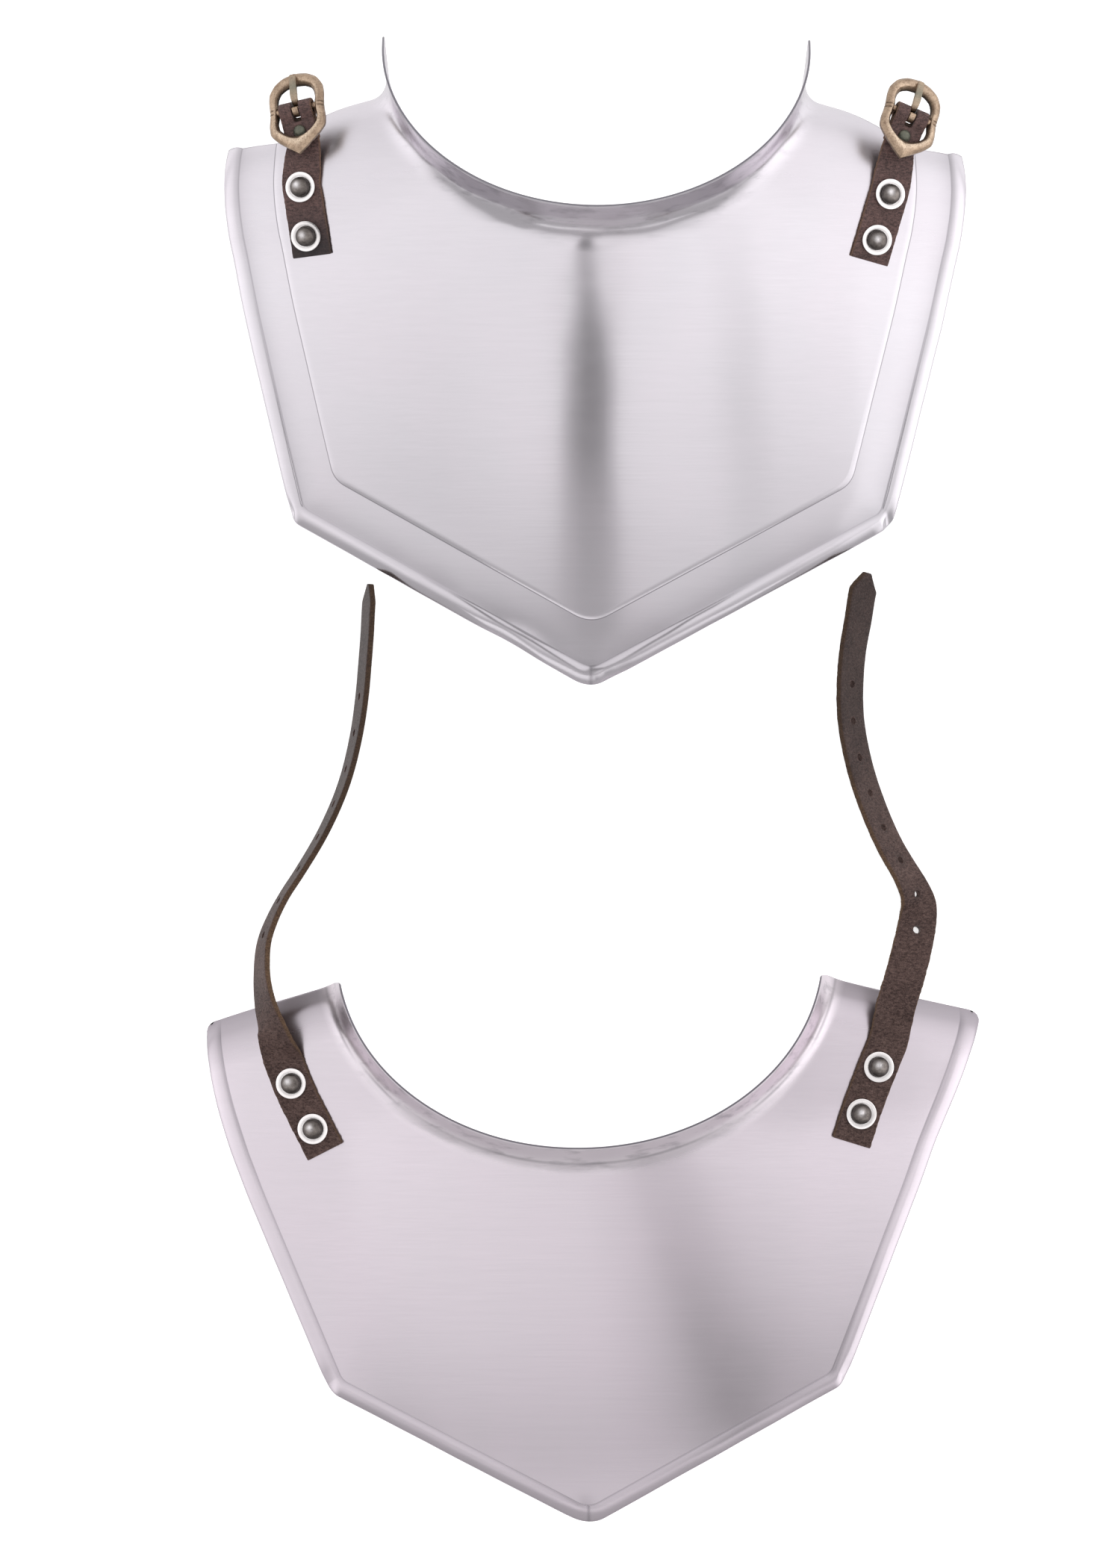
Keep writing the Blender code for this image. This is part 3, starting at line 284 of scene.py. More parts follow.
def outline(plate, rows, inset_foot, inset_side):
    """Corners of the outline in the flat pattern, moved inwards, from the tip upwards."""
    v = np.array(rows) * (plate["half_width"], -plate["drop"])
    insets = np.array([inset_foot] + [inset_side] * (len(v) - 2))
    way = unit(np.diff(v, axis=0))
    inward = np.stack([-way[:, 1], way[:, 0]], axis=1)
    first = v[0] + inward[0] * insets[0]
    moved = [first - way[0] * first[0] / way[0][0]]
    for i in range(1, len(v) - 1):
        a, b = inward[i - 1], inward[i]
        if abs(a[0] * b[1] - a[1] * b[0]) < 1e-3:
            moved.append(v[i] + b * insets[i])
        else:
            moved.append(np.linalg.solve(np.array([a, b]),
                                         np.array([a @ v[i] + insets[i - 1], b @ v[i] + insets[i]])))
    moved.append(flap_end(plate, v[-2] + inward[-1] * insets[-1], way[-1]))
    return np.array(moved)


def rounded(a, corner, b, radius, count, half=False):
    start = corner + unit(a - corner) * radius
    stop = corner + unit(b - corner) * radius
    t = np.linspace(0.5 if half else 0.0, 1.0, count + 1)[:, None]
    return (1 - t) ** 2 * start + 2 * t * (1 - t) * corner + t ** 2 * stop


def edge_columns(plate, corners, tip_round, corner_round):
    """Points of an outline at the plate's columns, from the tip to the end of the shoulder."""
    tip = rounded(corners[1] * (-1.0, 1.0), corners[0], corners[1], tip_round, FINE["tip"], half=True)
    bend = rounded(corners[0], corners[1], corners[2], corner_round, FINE["corner"])
    foot = np.linspace(tip[-1], bend[0], FINE["foot"] + 1)
    fine = along(np.vstack([bend[-1], corners[2:]]), np.linspace(0, 1, 900))
    # the outline's short straight runs are eased into one curve
    ease = np.ones(41) / 41
    soft = np.stack([np.convolve(np.pad(fine[:, i], 20, mode="reflect", reflect_type="odd"), ease, "valid")
                     for i in (0, 1)], axis=1)
    cut = int(np.argmax(up_share(plate, soft) >= plate["fold_start"]))
    low = along(soft[:cut + 1], np.linspace(0, 1, FINE["side"] + 1))
    high = along(soft[cut:], np.linspace(0, 1, FINE["fold"] + 1))
    return np.vstack([tip[:-1], foot[:-1], bend[:-1], low[:-1], high])


def crease_columns(plate):
    """Neck crease points matching the columns, with their shares of the crease length."""
    crease = neck_crease(plate)
    shares = np.linspace(0, 1, 1200)
    fine = along(crease, shares)
    cut = shares[int(np.argmax(up_share(plate, fine) >= plate["fold_start"]))]
    at, here = [0.0], 0.0
    for stretch in ("tip", "foot", "corner", "side"):
        for _ in range(FINE[stretch]):
            here += plate["columns"][stretch] * cut / FINE[stretch]
            at.append(here)
    at = np.array(at[:-1] + list(np.linspace(cut, 1.0, FINE["fold"] + 1)))
    # evener steps along the crease, so that the collar's facets don't bunch up
    for _ in range(6):
        at[1:-1] = (at[:-2] + 2 * at[1:-1] + at[2:]) / 4
    return along(crease, at), at


# %% [markdown]
# A collar that is only bent up looks drawn with a ruler. On the real plate the collar rises from
# the crease through a soft fillet, the border steps down a millimetre, and the edge is rolled over
# into a low bead. Each of those is a few rows of the grid. The rows also carry a mark of how deep
# in a groove they lie, and the steel is painted darker there as shade, as it is along the roll's
# outer edge.

# %% Rows of a plate from the collar's lip to the rolled edge
def plate_rows(plate, rows, lip_rows):
    crease, at = crease_columns(plate)
    outer = edge_columns(plate, outline(plate, rows, 0.0, 0.0), plate["tip_round"], plate["corner_round"])
    groove = edge_columns(plate, outline(plate, rows, plate["rim_foot"], plate["rim_side"]),
                          plate["tip_round"] * GROOVE_ROUND, plate["corner_round"] * GROOVE_ROUND)
    deep, none = plate["emboss_depth"], np.zeros(len(at))
    inner = lower = groove
    if deep:
        inner, lower = (
            edge_columns(plate, outline(plate, rows, plate["emboss_foot"] - s, plate["emboss_side"] - s),
                         plate["emboss_tip"], plate["emboss_corner"]) for s in (0.0, plate["emboss_step"]))
    lift = lambda flat, height: (form(plate, flat[:, 0], flat[:, 1])
                                 + face_normal(plate, flat[:, 0], flat[:, 1]) * (none + height)[:, None])
    crease3 = form(plate, crease[:, 0], crease[:, 1])
    angle, width = np.radians(soft_table(at, lip_rows, 1)), soft_table(at, lip_rows, 2)
    width = width * (1 - plate["lip_end"] * np.clip((at - 0.93) / 0.07, 0, 1) ** 2)
    lip_wide, lip_deep = plate["lip"]
    capped = np.minimum(angle, math.pi / 2)
    lip = np.stack([lip_wide * np.sin(capped),
                    lip_deep * (1 - np.cos(capped)) + lip_deep * (angle - capped)], axis=1)
    rise = np.sqrt(np.maximum(width ** 2 - ((lip - crease3[:, :2]) ** 2).sum(axis=1), 0.0))
    lip3 = np.column_stack([lip, crease3[:, 2] + rise])
    foot = crease + unit(inner - crease) * plate["fillet"]
    foot3 = lift(foot, 0.0)
    start = crease3 + unit(lip3 - crease3) * plate["fillet"]
    grid = [lip3 + (start - lip3) * k for k in np.linspace(0, 1, FINE["collar"] + 1)[:-1]]
    marks = [0.0] * len(grid)
    for t in np.linspace(0, 1, FINE["fillet"] + 1)[:-1]:
        grid.append((1 - t) ** 2 * start + 2 * t * (1 - t) * crease3 + t ** 2 * foot3)
        marks.append(0.0)
    near = lambda a, b, gap: a + unit(b - a) * gap
    for t in np.linspace(0, 1, FINE["face"] + 1) ** 0.85:
        grid.append(lift(foot + (near(inner, foot, CRISP) - foot) * t, 0.0))
        marks.append(0.0)
    grid.append(lift(inner, 0.0))
    marks.append(0.0)
    # the groove marks paint the steel darker as shade: at the foot of the border step, across the border
    # band, in the rim's groove and along the roll's outer edge
    if deep:
        for t in np.linspace(0, 1, FINE["step"] + 1)[1:] ** 0.6:
            grid.append(lift(inner + (lower - inner) * t, -deep * t ** 1.8))
            marks.append(0.8 * (t > 0.99))
        for t in np.linspace(0, 1, FINE["band"] + 1):
            grid.append(lift(near(lower, groove, CRISP) * (1 - t) + near(groove, lower, CRISP) * t,
                             -deep - VALLEY * t ** 2.2))
            marks.append(0.22 * t ** 3)
        grid.append(lift(groove, -deep - VALLEY))
        marks.append(0.0)
    marks[-1] = 0.45
    run = run_length(crease)[-1] * (1 - at)
    last = np.clip(run / RIM_FADE, 0.1, 1) if plate["flap"] else none + 1.0
    for t in np.linspace(0, 1, FINE["rim"] + 1)[1:]:
        roll = math.sin(math.pi * min(t * ROLL_PAST, 1.0) ** ROLL_SKEW) * plate["rim_height"]
        roll -= ROLL_TUCK * t ** 6
        sunk = (VALLEY if deep else 0.0) * max(0.0, 1 - t * 2.2) ** 2
        grid.append(lift(groove + (outer - groove) * t, (roll - sunk) * last - deep))
        marks.append(0.32 * max(0.0, 1 - t * 3.2) + 0.2 * max(0.0, t * 8 - 7))
    grid = np.array(grid)
    if plate["flap"]:
        round_end(grid)
    marks = np.array(marks)[:, None] * np.ones(len(at))
    marks[-FINE["rim"] - 1:] *= last
    # painted shade: a dark line down the rim at the tip
    marks[-FINE["rim"]:, 0] += 0.4
    return grid, marks


def round_end(grid):
    """Round the two corners at the end of the shoulder flap, along the sheet itself."""
    down = run_length(grid[:, -1])
    for i, (from_lip, from_edge) in enumerate(zip(down, down[-1] - down)):
        back = 0.0
        for reach, radius in ((from_lip, LIP_CORNER), (from_edge, EDGE_CORNER)):
            if reach < radius:
                back = max(back, radius - math.sqrt(radius ** 2 - (radius - reach) ** 2))
        if back > 0.01:
            tail = grid[i, -12:].copy()
            length = run_length(tail)
            grid[i, -12:] = pick(length * (1 - back / length[-1]), length, tail)


def plate_grid(plate, rows, lip_rows):
    half, marks = plate_rows(plate, rows, lip_rows)
    half[:, 0, 0] = 0.0
    return (np.concatenate([half[:, :0:-1] * (-1.0, 1.0, 1.0), half], axis=1),
            np.concatenate([marks[:, :0:-1], marks], axis=1))


def sheet_normals(grid):
    normal = unit(np.cross(np.gradient(grid, axis=0), np.gradient(grid, axis=1)))
    return normal if normal[grid.shape[0] // 2, grid.shape[1] // 2][2] > 0 else -normal


# %% [markdown]
# Every piece is made the same way: a list of points and faces becomes a closed mesh, rides with
# its body, and stands for its plain solid. Marks such as grooves or cut edges are stored on the
# points, where a material can read them. Punches and rods are closed meshes too, used up by a cut.

# %% Make a piece
made = {}


def put(name, data):
    """New object in the scene."""
    thing = bpy.data.objects.new(name, data)
    bpy.context.scene.collection.objects.link(thing)
    return thing


def solid(name, verts, faces, marks=None):
    """Closed mesh from millimetre points, with a value of each mark on every point."""
    bm = bmesh.new()
    layers = {key: bm.verts.layers.float.new(key) for key in (marks or {})}
    points = []
    for i, v in enumerate(verts):
        point = bm.verts.new(Vector(v) * MM)
        for key, layer in layers.items():
            point[layer] = float(marks[key][i])
        points.append(point)
    for f in faces:
        bm.faces.new([points[i] for i in f])
    bmesh.ops.recalc_face_normals(bm, faces=bm.faces)
    mesh = bpy.data.meshes.new(name)
    bm.to_mesh(mesh)
    bm.free()
    return put(name, mesh)


def smooth(mesh, sharp):
    mesh.shade_smooth()
    mesh.set_sharp_from_angle(angle=math.radians(sharp))


def piece(node, body, verts, faces, finish, marks, sharp=40.0):
    """Dressed piece that rides with a body and stands for one plain solid."""
    thing = solid(node + "_dressed", verts, faces, marks)
    thing.data.materials.append(finish)
    smooth(thing.data, sharp)
    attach(thing, body)
    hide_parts(node)
    made[node] = thing
    return thing


def carve(thing, cutters, how="DIFFERENCE", sharp=40.0):
    """Cut holes or a slot, or join a rod, exactly, and keep the point marks."""
    for cutter in cutters:
        step = thing.modifiers.new("cut", "BOOLEAN")
        step.operation, step.solver, step.object = how, "EXACT", cutter
    bpy.context.view_layer.update()
    graph = bpy.context.evaluated_depsgraph_get()
    result = bpy.data.meshes.new_from_object(thing.evaluated_get(graph), depsgraph=graph)
    thing.modifiers.clear()
    thing.data = result
    smooth(result, sharp)
    for cutter in cutters:
        bpy.data.objects.remove(cutter, do_unlink=True)


# %% [markdown]
# A finish is a sum of small patterns, and a node tree is a poor place to read a sum. So a small
# class wraps one socket, and plain Python signs add the Math nodes. Any other node comes from one
# method, which takes its type, its settings and what goes into its sockets.

# %% Shader sums written as Python
class Wire:
    """One socket of a finish, on which sums can be written."""

    def __init__(self, tree, out):
        self.tree, self.out = tree, out

    def node(self, kind, settings=None, inputs=None, output=0):
        new = self.tree.nodes.new(kind)
        for key, value in (settings or {}).items():
            if key == "stops":
                for stop, (at, grey) in zip(new.color_ramp.elements, value):
                    stop.position, stop.color = at, (grey, grey, grey, 1.0)
            else:
                setattr(new, key, value)
        for key, value in (inputs or {}).items():
            if isinstance(value, Wire):
                self.tree.links.new(value.out, new.inputs[key])
            else:
                new.inputs[key].default_value = value
        return Wire(self.tree, new.outputs[output])

    def maths(self, how, first, second=0.0, clamp=False):
        return self.node("ShaderNodeMath", {"operation": how, "use_clamp": clamp}, {0: first, 1: second})

    def __add__(self, other):
        return self.maths("ADD", self, other)

    def __sub__(self, other):
        return self.maths("SUBTRACT", self, other)

    def __mul__(self, other):
        return self.maths("MULTIPLY", self, other)

    def __rsub__(self, other):
        return self.maths("SUBTRACT", other, self)

    __radd__, __rmul__ = __add__, __mul__

    def clamped(self):
        return self.maths("ADD", self, 0.0, clamp=True)

    def ramp(self, low, high):
        """0 up to one value, 1 from the other on, and even between them."""
        return self.node("ShaderNodeValToRGB", {"stops": ((low, 0.0), (high, 1.0))}, {0: self})

    def stretched(self, x, y, z):
        """The same coordinates with each axis scaled."""
        return self.node("ShaderNodeVectorMath", {"operation": "MULTIPLY"}, {0: self, 1: (x, y, z)})

    def split(self):
        """X, Y and Z of a vector."""
        parts = self.node("ShaderNodeSeparateXYZ", {}, {0: self}).out.node
        return [Wire(self.tree, out) for out in parts.outputs]

    def noise(self, size, detail=3.0, rough=0.5):
        """Noise whose lumps are about size millimetres on these coordinates."""
        return self.node("ShaderNodeTexNoise", {}, {"Vector": self, "Scale": 1.0 / size, "Detail": detail,
                                                    "Roughness": rough}, "Fac")

    def cells(self, size):
        return self.node("ShaderNodeTexVoronoi", {}, {"Vector": self, "Scale": 1.0 / size}, "Distance")

    def paint(self, under, over):
        """Colour that goes from under to over as this value goes from 0 to 1."""
        return self.node("ShaderNodeMix", {"data_type": "RGBA"}, {"Factor": self, 6: under, 7: over}, 2)


def rgb(*screen):
    """Colour as read off a screen, 0 to 255, turned into light."""
    return (*[(c / 255 / 12.92) if c <= 10 else ((c / 255 + 0.055) / 1.055) ** 2.4 for c in screen], 1.0)


class Finish:
    """A material with its shader and millimetre coordinates that stay with the piece."""

    def __init__(self, name, **fixed):
        self.material = bpy.data.materials.new(name)
        self.material.use_nodes = True
        self.tree = self.material.node_tree
        self.shader = self.tree.nodes["Principled BSDF"]
        for key, value in fixed.items():
            self.socket(key).default_value = value
        metres = Wire(self.tree, None).node("ShaderNodeTexCoord", output="Object")
        self.mm = metres.stretched(1000, 1000, 1000)

    def socket(self, key):
        return self.shader.inputs[key.replace("_", " ").title().replace("Ior", "IOR")]

    def mark(self, name):
        """A mark stored on the piece's points."""
        return self.mm.node("ShaderNodeAttribute", {"attribute_name": name}, output="Fac")

    def feed(self, **inputs):
        for key, wire in inputs.items():
            self.tree.links.new(wire.out, self.socket(key))

    def bump(self, *heights):
        """Relief from several height wires, each with its depth in millimetres."""
        normal = {}
        for wire, depth in heights:
            inputs = {"Height": wire, "Distance": depth * MM, "Strength": 1.0, **normal}
            normal = {"Normal": self.mm.node("ShaderNodeBump", {}, inputs)}
        self.feed(normal=normal["Normal"])


# %% [markdown]
# The plates are mild steel brushed across with a fine belt. Two things make it read as brushed
# steel: lines far finer than a millimetre that run across the plate, and clouds of slightly
# different polish. Grooves and edges are painted dark as shade, the standing collar carries dark
# streaks of painted reflection and on the back plate is painted lighter as painted reflection,
# and past the shoulder the sheet is painted darker as shade.

# %% Brushed steel
def brushed_steel(name, first, second, rough, shoulder_shade, share, lip):
    f = Finish(name, metallic=1.0, anisotropic=0.65)
    lines = f.mm.stretched(0.03, 3.2, 0.6).noise(1.0, 2.0, 0.6)
    bands = f.mm.stretched(0.010, 0.45, 0.2).noise(1.0, 3.0, 0.6)
    cloud = f.mm.stretched(1.0, 0.6, 1.0).noise(46.0, 3.0, 0.55)
    smear = f.mm.stretched(0.4, 1.0, 1.0).noise(9.0, 4.0, 0.6)
    groove, edge, dull_and_shade = f.mark("groove"), f.mark("edge"), f.mark("dull_and_shade")
    colour = ((cloud - 0.5) * 1.6 + 0.5).clamped().paint(second, first)
    scored = ((lines - 0.5) * 0.07 + (bands - 0.5) * 0.06 + 0.05).clamped()
    colour = scored.paint(colour, rgb(110, 108, 114))
    # painted shade: past the shoulder fold, and on the back plate at the flaps' ends and round the edge, the
    # colour goes darker by share
    colour = (dull_and_shade * share).clamped().paint(colour, shoulder_shade)
    streak = f.mm.stretched(0.25, 1.0, 1.0).noise(4.5, 4.0, 0.6)
    collar = f.mark("collar")
    # painted reflection: the standing collar is painted lighter by lip, and dark streaks run along it
    colour = (collar * lip).clamped().paint(colour, rgb(240, 232, 238))
    colour = (collar * ((streak - 0.5) * 2.0 - 0.04)).clamped().paint(colour, rgb(120, 117, 124))
    # painted shade: dark lines in the grooves, along the rim and along the back neck's lip line
    colour = (groove * 0.9).clamped().paint(colour, rgb(84, 80, 88))
    # painted shade: the edge ring goes darker, strongest along the collar's lip
    colour = (edge * 0.95).clamped().paint(colour, rgb(92, 90, 98))
    f.feed(base_color=colour,
           roughness=(rough + (cloud - 0.5) * 0.07 + (smear - 0.5) * 0.05 + (lines - 0.5) * 0.04
                      + groove * 0.15 + edge * 0.15 + dull_and_shade * 0.20 + collar * (lip * 0.20)).clamped())
    f.bump((lines, 0.004), (smear, 0.008))
    return f.material


# the third colour is painted shade past the shoulder, and the last number paints the standing collar lighter
# as painted reflection
front_steel = brushed_steel("front brushed steel", rgb(226, 219, 226), rgb(221, 217, 223), 0.15,
                            rgb(150, 146, 152), 0.08, 0.0)
back_steel = brushed_steel("back brushed steel", rgb(219, 208, 217), rgb(214, 206, 213), 0.22,
                           rgb(150, 143, 150), 0.75, 0.9)

# %% [markdown]
# The sheet gets a second face a wall's thickness below, and a half round edge all round, because
# a cut edge that is filed soft catches a thin line of light. The hammer left the rolled rim a
# little uneven, flattened it near the tip, and nicked it where the roll turns each corner.

# %% Hand work on the rim
UNEVEN = 0.12


def hand_work(grid, flats, seed):
    """Slow waves over the sheet, stronger near its edge, and hammer flats on the roll."""
    row = np.arange(len(grid))
    near_edge = np.clip((row - (len(grid) - 1 - FINE["rim"] - 4)) / 5.0, 0, 1)[:, None]
    height = wander(grid, 70.0, seed) * UNEVEN + near_edge * wander(grid, 22.0, seed + 1) * UNEVEN
    near_neck = np.exp(-((row - FINE["collar"] - FINE["fillet"] * 0.55) / 6.0) ** 2)[:, None]
    height += near_neck * (wander(grid, 24.0, seed + 2) * 0.20 + wander(grid, 60.0, seed + 3) * 0.22)
    for spot, size, deep in flats:
        reach = np.linalg.norm((grid[..., :2] - spot) / size, axis=-1)
        height -= deep * np.exp(-reach ** 2.4) * near_edge
    return grid + sheet_normals(grid) * height[..., None]


# %% Where a sheet is dull and painted in shade
END_DULL_AND_SHADE = 23.0


def shoulder_share(shape):
    """0 on the open face, 1 past the shoulder fold, where the sheet is rougher and painted darker as shade.
    """
    first = FINE["tip"] + FINE["foot"] + FINE["corner"] + FINE["side"]
    half = np.clip((np.arange((shape[1] + 1) // 2) - first + 9.0) / 14.0, 0, 1)
    return np.broadcast_to(np.concatenate([half[:0:-1], half]), shape[:2])


def end_share(grid):
    """1 at the ends of the shoulder flaps, falling to 0 some way in."""
    plan, ends = grid[..., :2], (slice(0, 1), slice(-1, None))
    away = np.minimum(*(np.linalg.norm(plan - plan[:, end], axis=-1) for end in ends))
    return np.clip(1 - away / END_DULL_AND_SHADE, 0, 1)


def collar_share(shape):
    """1 on the standing collar and its fillet, 0 on the face."""
    share = np.clip(1.3 - (np.arange(shape[0]) - FINE["collar"]) / (FINE["fillet"] * 0.75), 0, 1)
    return np.broadcast_to(share[:, None], shape[:2])


# %% Close a sheet round its edge
FLOOR, EDGE_SHARES, EDGE_BULGE = 0.02, (0.22, 0.5, 0.78), 0.42


def above_floor(points):
    points[..., 2] = np.maximum(points[..., 2], FLOOR)
    return points


def sheet_piece(node, grid, groove, dull_and_shade, finish):
    """Sheet with two faces and a half round edge, from the grid of its outer face."""
    normal = sheet_normals(grid)
    grid = above_floor(grid)
    below = above_floor(grid - normal * STEEL)
    rows, cols = grid.shape[:2]
    cells = rows * cols
    verts = list(np.vstack([grid.reshape(-1, 3), below.reshape(-1, 3)]))
    marks = dict(groove=list(groove.reshape(-1)) + [0.0] * cells, edge=[0.0] * (2 * cells),
                 dull_and_shade=list(dull_and_shade.reshape(-1)) * 2, collar=list(collar_share(grid.shape).reshape(-1)) * 2)
    faces = []
    for i in range(rows - 1):
        for a in range(i * cols, i * cols + cols - 1):
            faces.append((a, a + 1, a + cols + 1, a + cols))
            faces.append((a + cells, a + cols + cells, a + cols + 1 + cells, a + 1 + cells))
    ring = ([(0, j) for j in range(cols)] + [(i, cols - 1) for i in range(1, rows)]
            + [(rows - 1, j) for j in range(cols - 2, -1, -1)] + [(i, 0) for i in range(rows - 2, 0, -1)])
    top, low, up = (np.array([values[spot] for spot in ring]) for values in (grid, below, normal))
    outward = unit(np.cross(unit(np.roll(top, -1, axis=0) - np.roll(top, 1, axis=0)), up))
    count, third = len(ring), len(ring) // 3
    if outward[third] @ (top[third] - grid.mean(axis=(0, 1))) < 0:
        outward = -outward
    levels = [[i * cols + j for i, j in ring]]
    for t in EDGE_SHARES:
        levels.append(range(len(verts), len(verts) + count))
        verts.extend(above_floor(top * (1 - t) + low * t + outward * (EDGE_BULGE * math.sin(math.pi * t))))
        # painted shade: the collar's lip edge is marked dark and the rest of the edge ring a little, and the
        # edge ring is also partly dull and painted darker
        marks["edge"].extend([0.9 if i == 0 else 0.10 for i, _ in ring])
        for key, value in (("groove", 0.0), ("dull_and_shade", 0.3), ("collar", 0.0)):
            marks[key].extend([value] * count)
    levels.append([a + cells for a in levels[0]])
    for k in range(count):
        m = (k + 1) % count
        faces += [(a[k], a[m], b[m], b[k]) for a, b in zip(levels, levels[1:])]
    return piece(node, "gorget", verts, faces, finish, marks, sharp=50.0)


# %% Front and back plate
LIP_LINE = 6.4
for node, plate, rows, lip_rows, finish, flats, seed in (
        ("front_plate", FRONT, FRONT_OUTLINE, FRONT_LIP, front_steel,
         (((-37.0, -196.0), (17.0, 9.0), 1.0), ((-137.0, -138.0), (2.2, 5.0), 0.9),
          ((134.0, -140.0), (2.4, 5.5), 1.3), ((9.0, -212.0), (5.0, 6.0), 0.8)), 3),
        ("back_plate", BACK, BACK_OUTLINE, BACK_LIP, back_steel,
         (((-116.0, -104.0), (3.0, 6.0), 0.9), ((118.0, -106.0), (3.0, 6.0), 1.0),
          ((-2.0, -168.0), (6.0, 7.0), 0.8)), 7)):
    grid, groove = plate_grid(plate, rows, lip_rows)
    grid = hand_work(grid, flats, seed)
    dull_and_shade = shoulder_share(grid.shape)
    if plate is BACK:
        # a fine dark line is painted along the neck's lip as shade, and only the flaps' ends are dull and
        # painted darker as shade
        dull_and_shade = end_share(grid)
        reach = np.linalg.norm(grid[..., :2] - grid[:1, :, :2], axis=-1)
        groove = np.maximum(groove, 0.50 * np.exp(-((reach - LIP_LINE) / 0.35) ** 2))
    thing = sheet_piece(node, place(plate, grid), groove, dull_and_shade, finish)
    # the brushing runs across, so the polish streaks light along the plate's length
    thing.data.use_auto_texspace = False
    thing.data.texspace_location, thing.data.texspace_size = (-100.0, 0.0, 0.0), (1.0, 1.0, 1.0)
    print(thing.name, "points", len(thing.data.vertices), "faces", len(thing.data.polygons))


# %% [markdown]
# The leather is thick vegetable tanned hide, dyed nearly black brown on its grain side. Dye does
# not reach into the cut edge, so the edge stays tan and frays into small fibres. The grain is a
# net of tiny cells with pores between them, and where the leather was bent it creases across.

# %% Leather finish
def dyed_leather(name, grain_dark, grain_light, raw_dark, raw_light, stain_and_shade_colour, gloss):
    f = Finish(name, specular_ior_level=gloss, sheen_weight=gloss / 8, sheen_roughness=0.45)
    cell = f.mm.cells(0.9)
    wrinkle = f.mm.stretched(0.7, 1.5, 1.0).noise(1.3, 4.0, 0.65)
    pore = f.mm.noise(0.5, 3.0, 0.65)
    blotch = f.mm.noise(15.0, 4.0, 0.6)
    scuff = f.mm.noise(3.0, 6.0, 0.75)
    fibre = f.mm.noise(0.8, 5.0, 0.8)
    edge, back, stain_and_shade = f.mark("edge"), f.mark("back"), f.mark("stain_and_shade")
    light = (blotch - 0.5) * 0.8 + (wrinkle - 0.5) * 2.0 + (scuff - 0.5) * 0.6 + (pore - 0.5) * 1.8 + 0.42
    grain = light.clamped().paint(grain_dark, grain_light)
    raw = fibre.ramp(0.32, 0.64).paint(raw_dark, raw_light)
    flesh = ((fibre - 0.5) * 1.6 + (blotch - 0.5) + 0.45).clamped().paint(rgb(46, 36, 32), rgb(92, 76, 68))
    colour = back.paint(grain, flesh)
    colour = (edge * (0.35 + fibre * 1.1)).clamped().paint(colour, raw)
    # real stain and painted shade: the left tab's stained end, and a strap's standing end and its holes
    # painted darker as shade
    colour = (stain_and_shade * (0.82 + (scuff - 0.5) * 0.6)).clamped().paint(colour, rgb(*stain_and_shade_colour))
    f.feed(base_color=colour,
           roughness=(0.52 + (pore - 0.5) * 0.3 - (wrinkle - 0.5) * 0.2 + edge * 0.3 + back * 0.25
                      - stain_and_shade * 0.12).clamped())
    f.bump((cell, 0.08), (wrinkle, 0.32), (pore, 0.10), (fibre * (edge + back * 0.6).clamped(), 0.35))
    return f.material


strap_leather = dyed_leather("strap leather", rgb(45, 31, 29), rgb(100, 80, 75),
                             rgb(48, 35, 28), rgb(112, 88, 68), (28, 21, 21), 0.12)
tab_leather = dyed_leather("tab leather", rgb(48, 31, 30), rgb(112, 84, 80),
                           rgb(50, 34, 27), rgb(130, 98, 76), (24, 22, 26), 0.32)


# %% [markdown]
# A strap is swept along its middle line with a slab section whose corners are worn soft. The line
# of a long strap lies on the plate at its rivets, then rises over the shoulder, tips on its edge
# and stands on the table in a slow bend.

# %% Slab section swept along a line
def band_frames(points, ups):
    way = unit(np.gradient(points, axis=0))
    up = unit(ups - (ups * way).sum(axis=1, keepdims=True) * way)
    return way, up, np.cross(way, up)


def slab_section(soft, thick, top_cols, low_cols):
    """Rows of: share of the half width, shift across, height, edge, back."""
    bend = [math.radians(a) for a in (25, 55, 90)]
    upper = [(soft * math.sin(a), thick / 2 - soft * (1 - math.cos(a)), math.sin(a) ** 1.5) for a in bend]
    side = upper + [(soft, 0.0, 1.0)] + [(out, -high, 1.0) for out, high, _ in upper[::-1]]
    return ([(k, 0.0, thick / 2, 0.0, 0.0) for k in np.linspace(-1, 1, top_cols + 1)]
            + [(1, out, high, edge, 0.0) for out, high, edge in side]
            + [(k, 0.0, -thick / 2, 0.0, 1.0) for k in np.linspace(1, -1, low_cols + 1)]
            + [(-1, -out, high, edge, 0.0) for out, high, edge in side[::-1]])


END_SOFT = 0.35


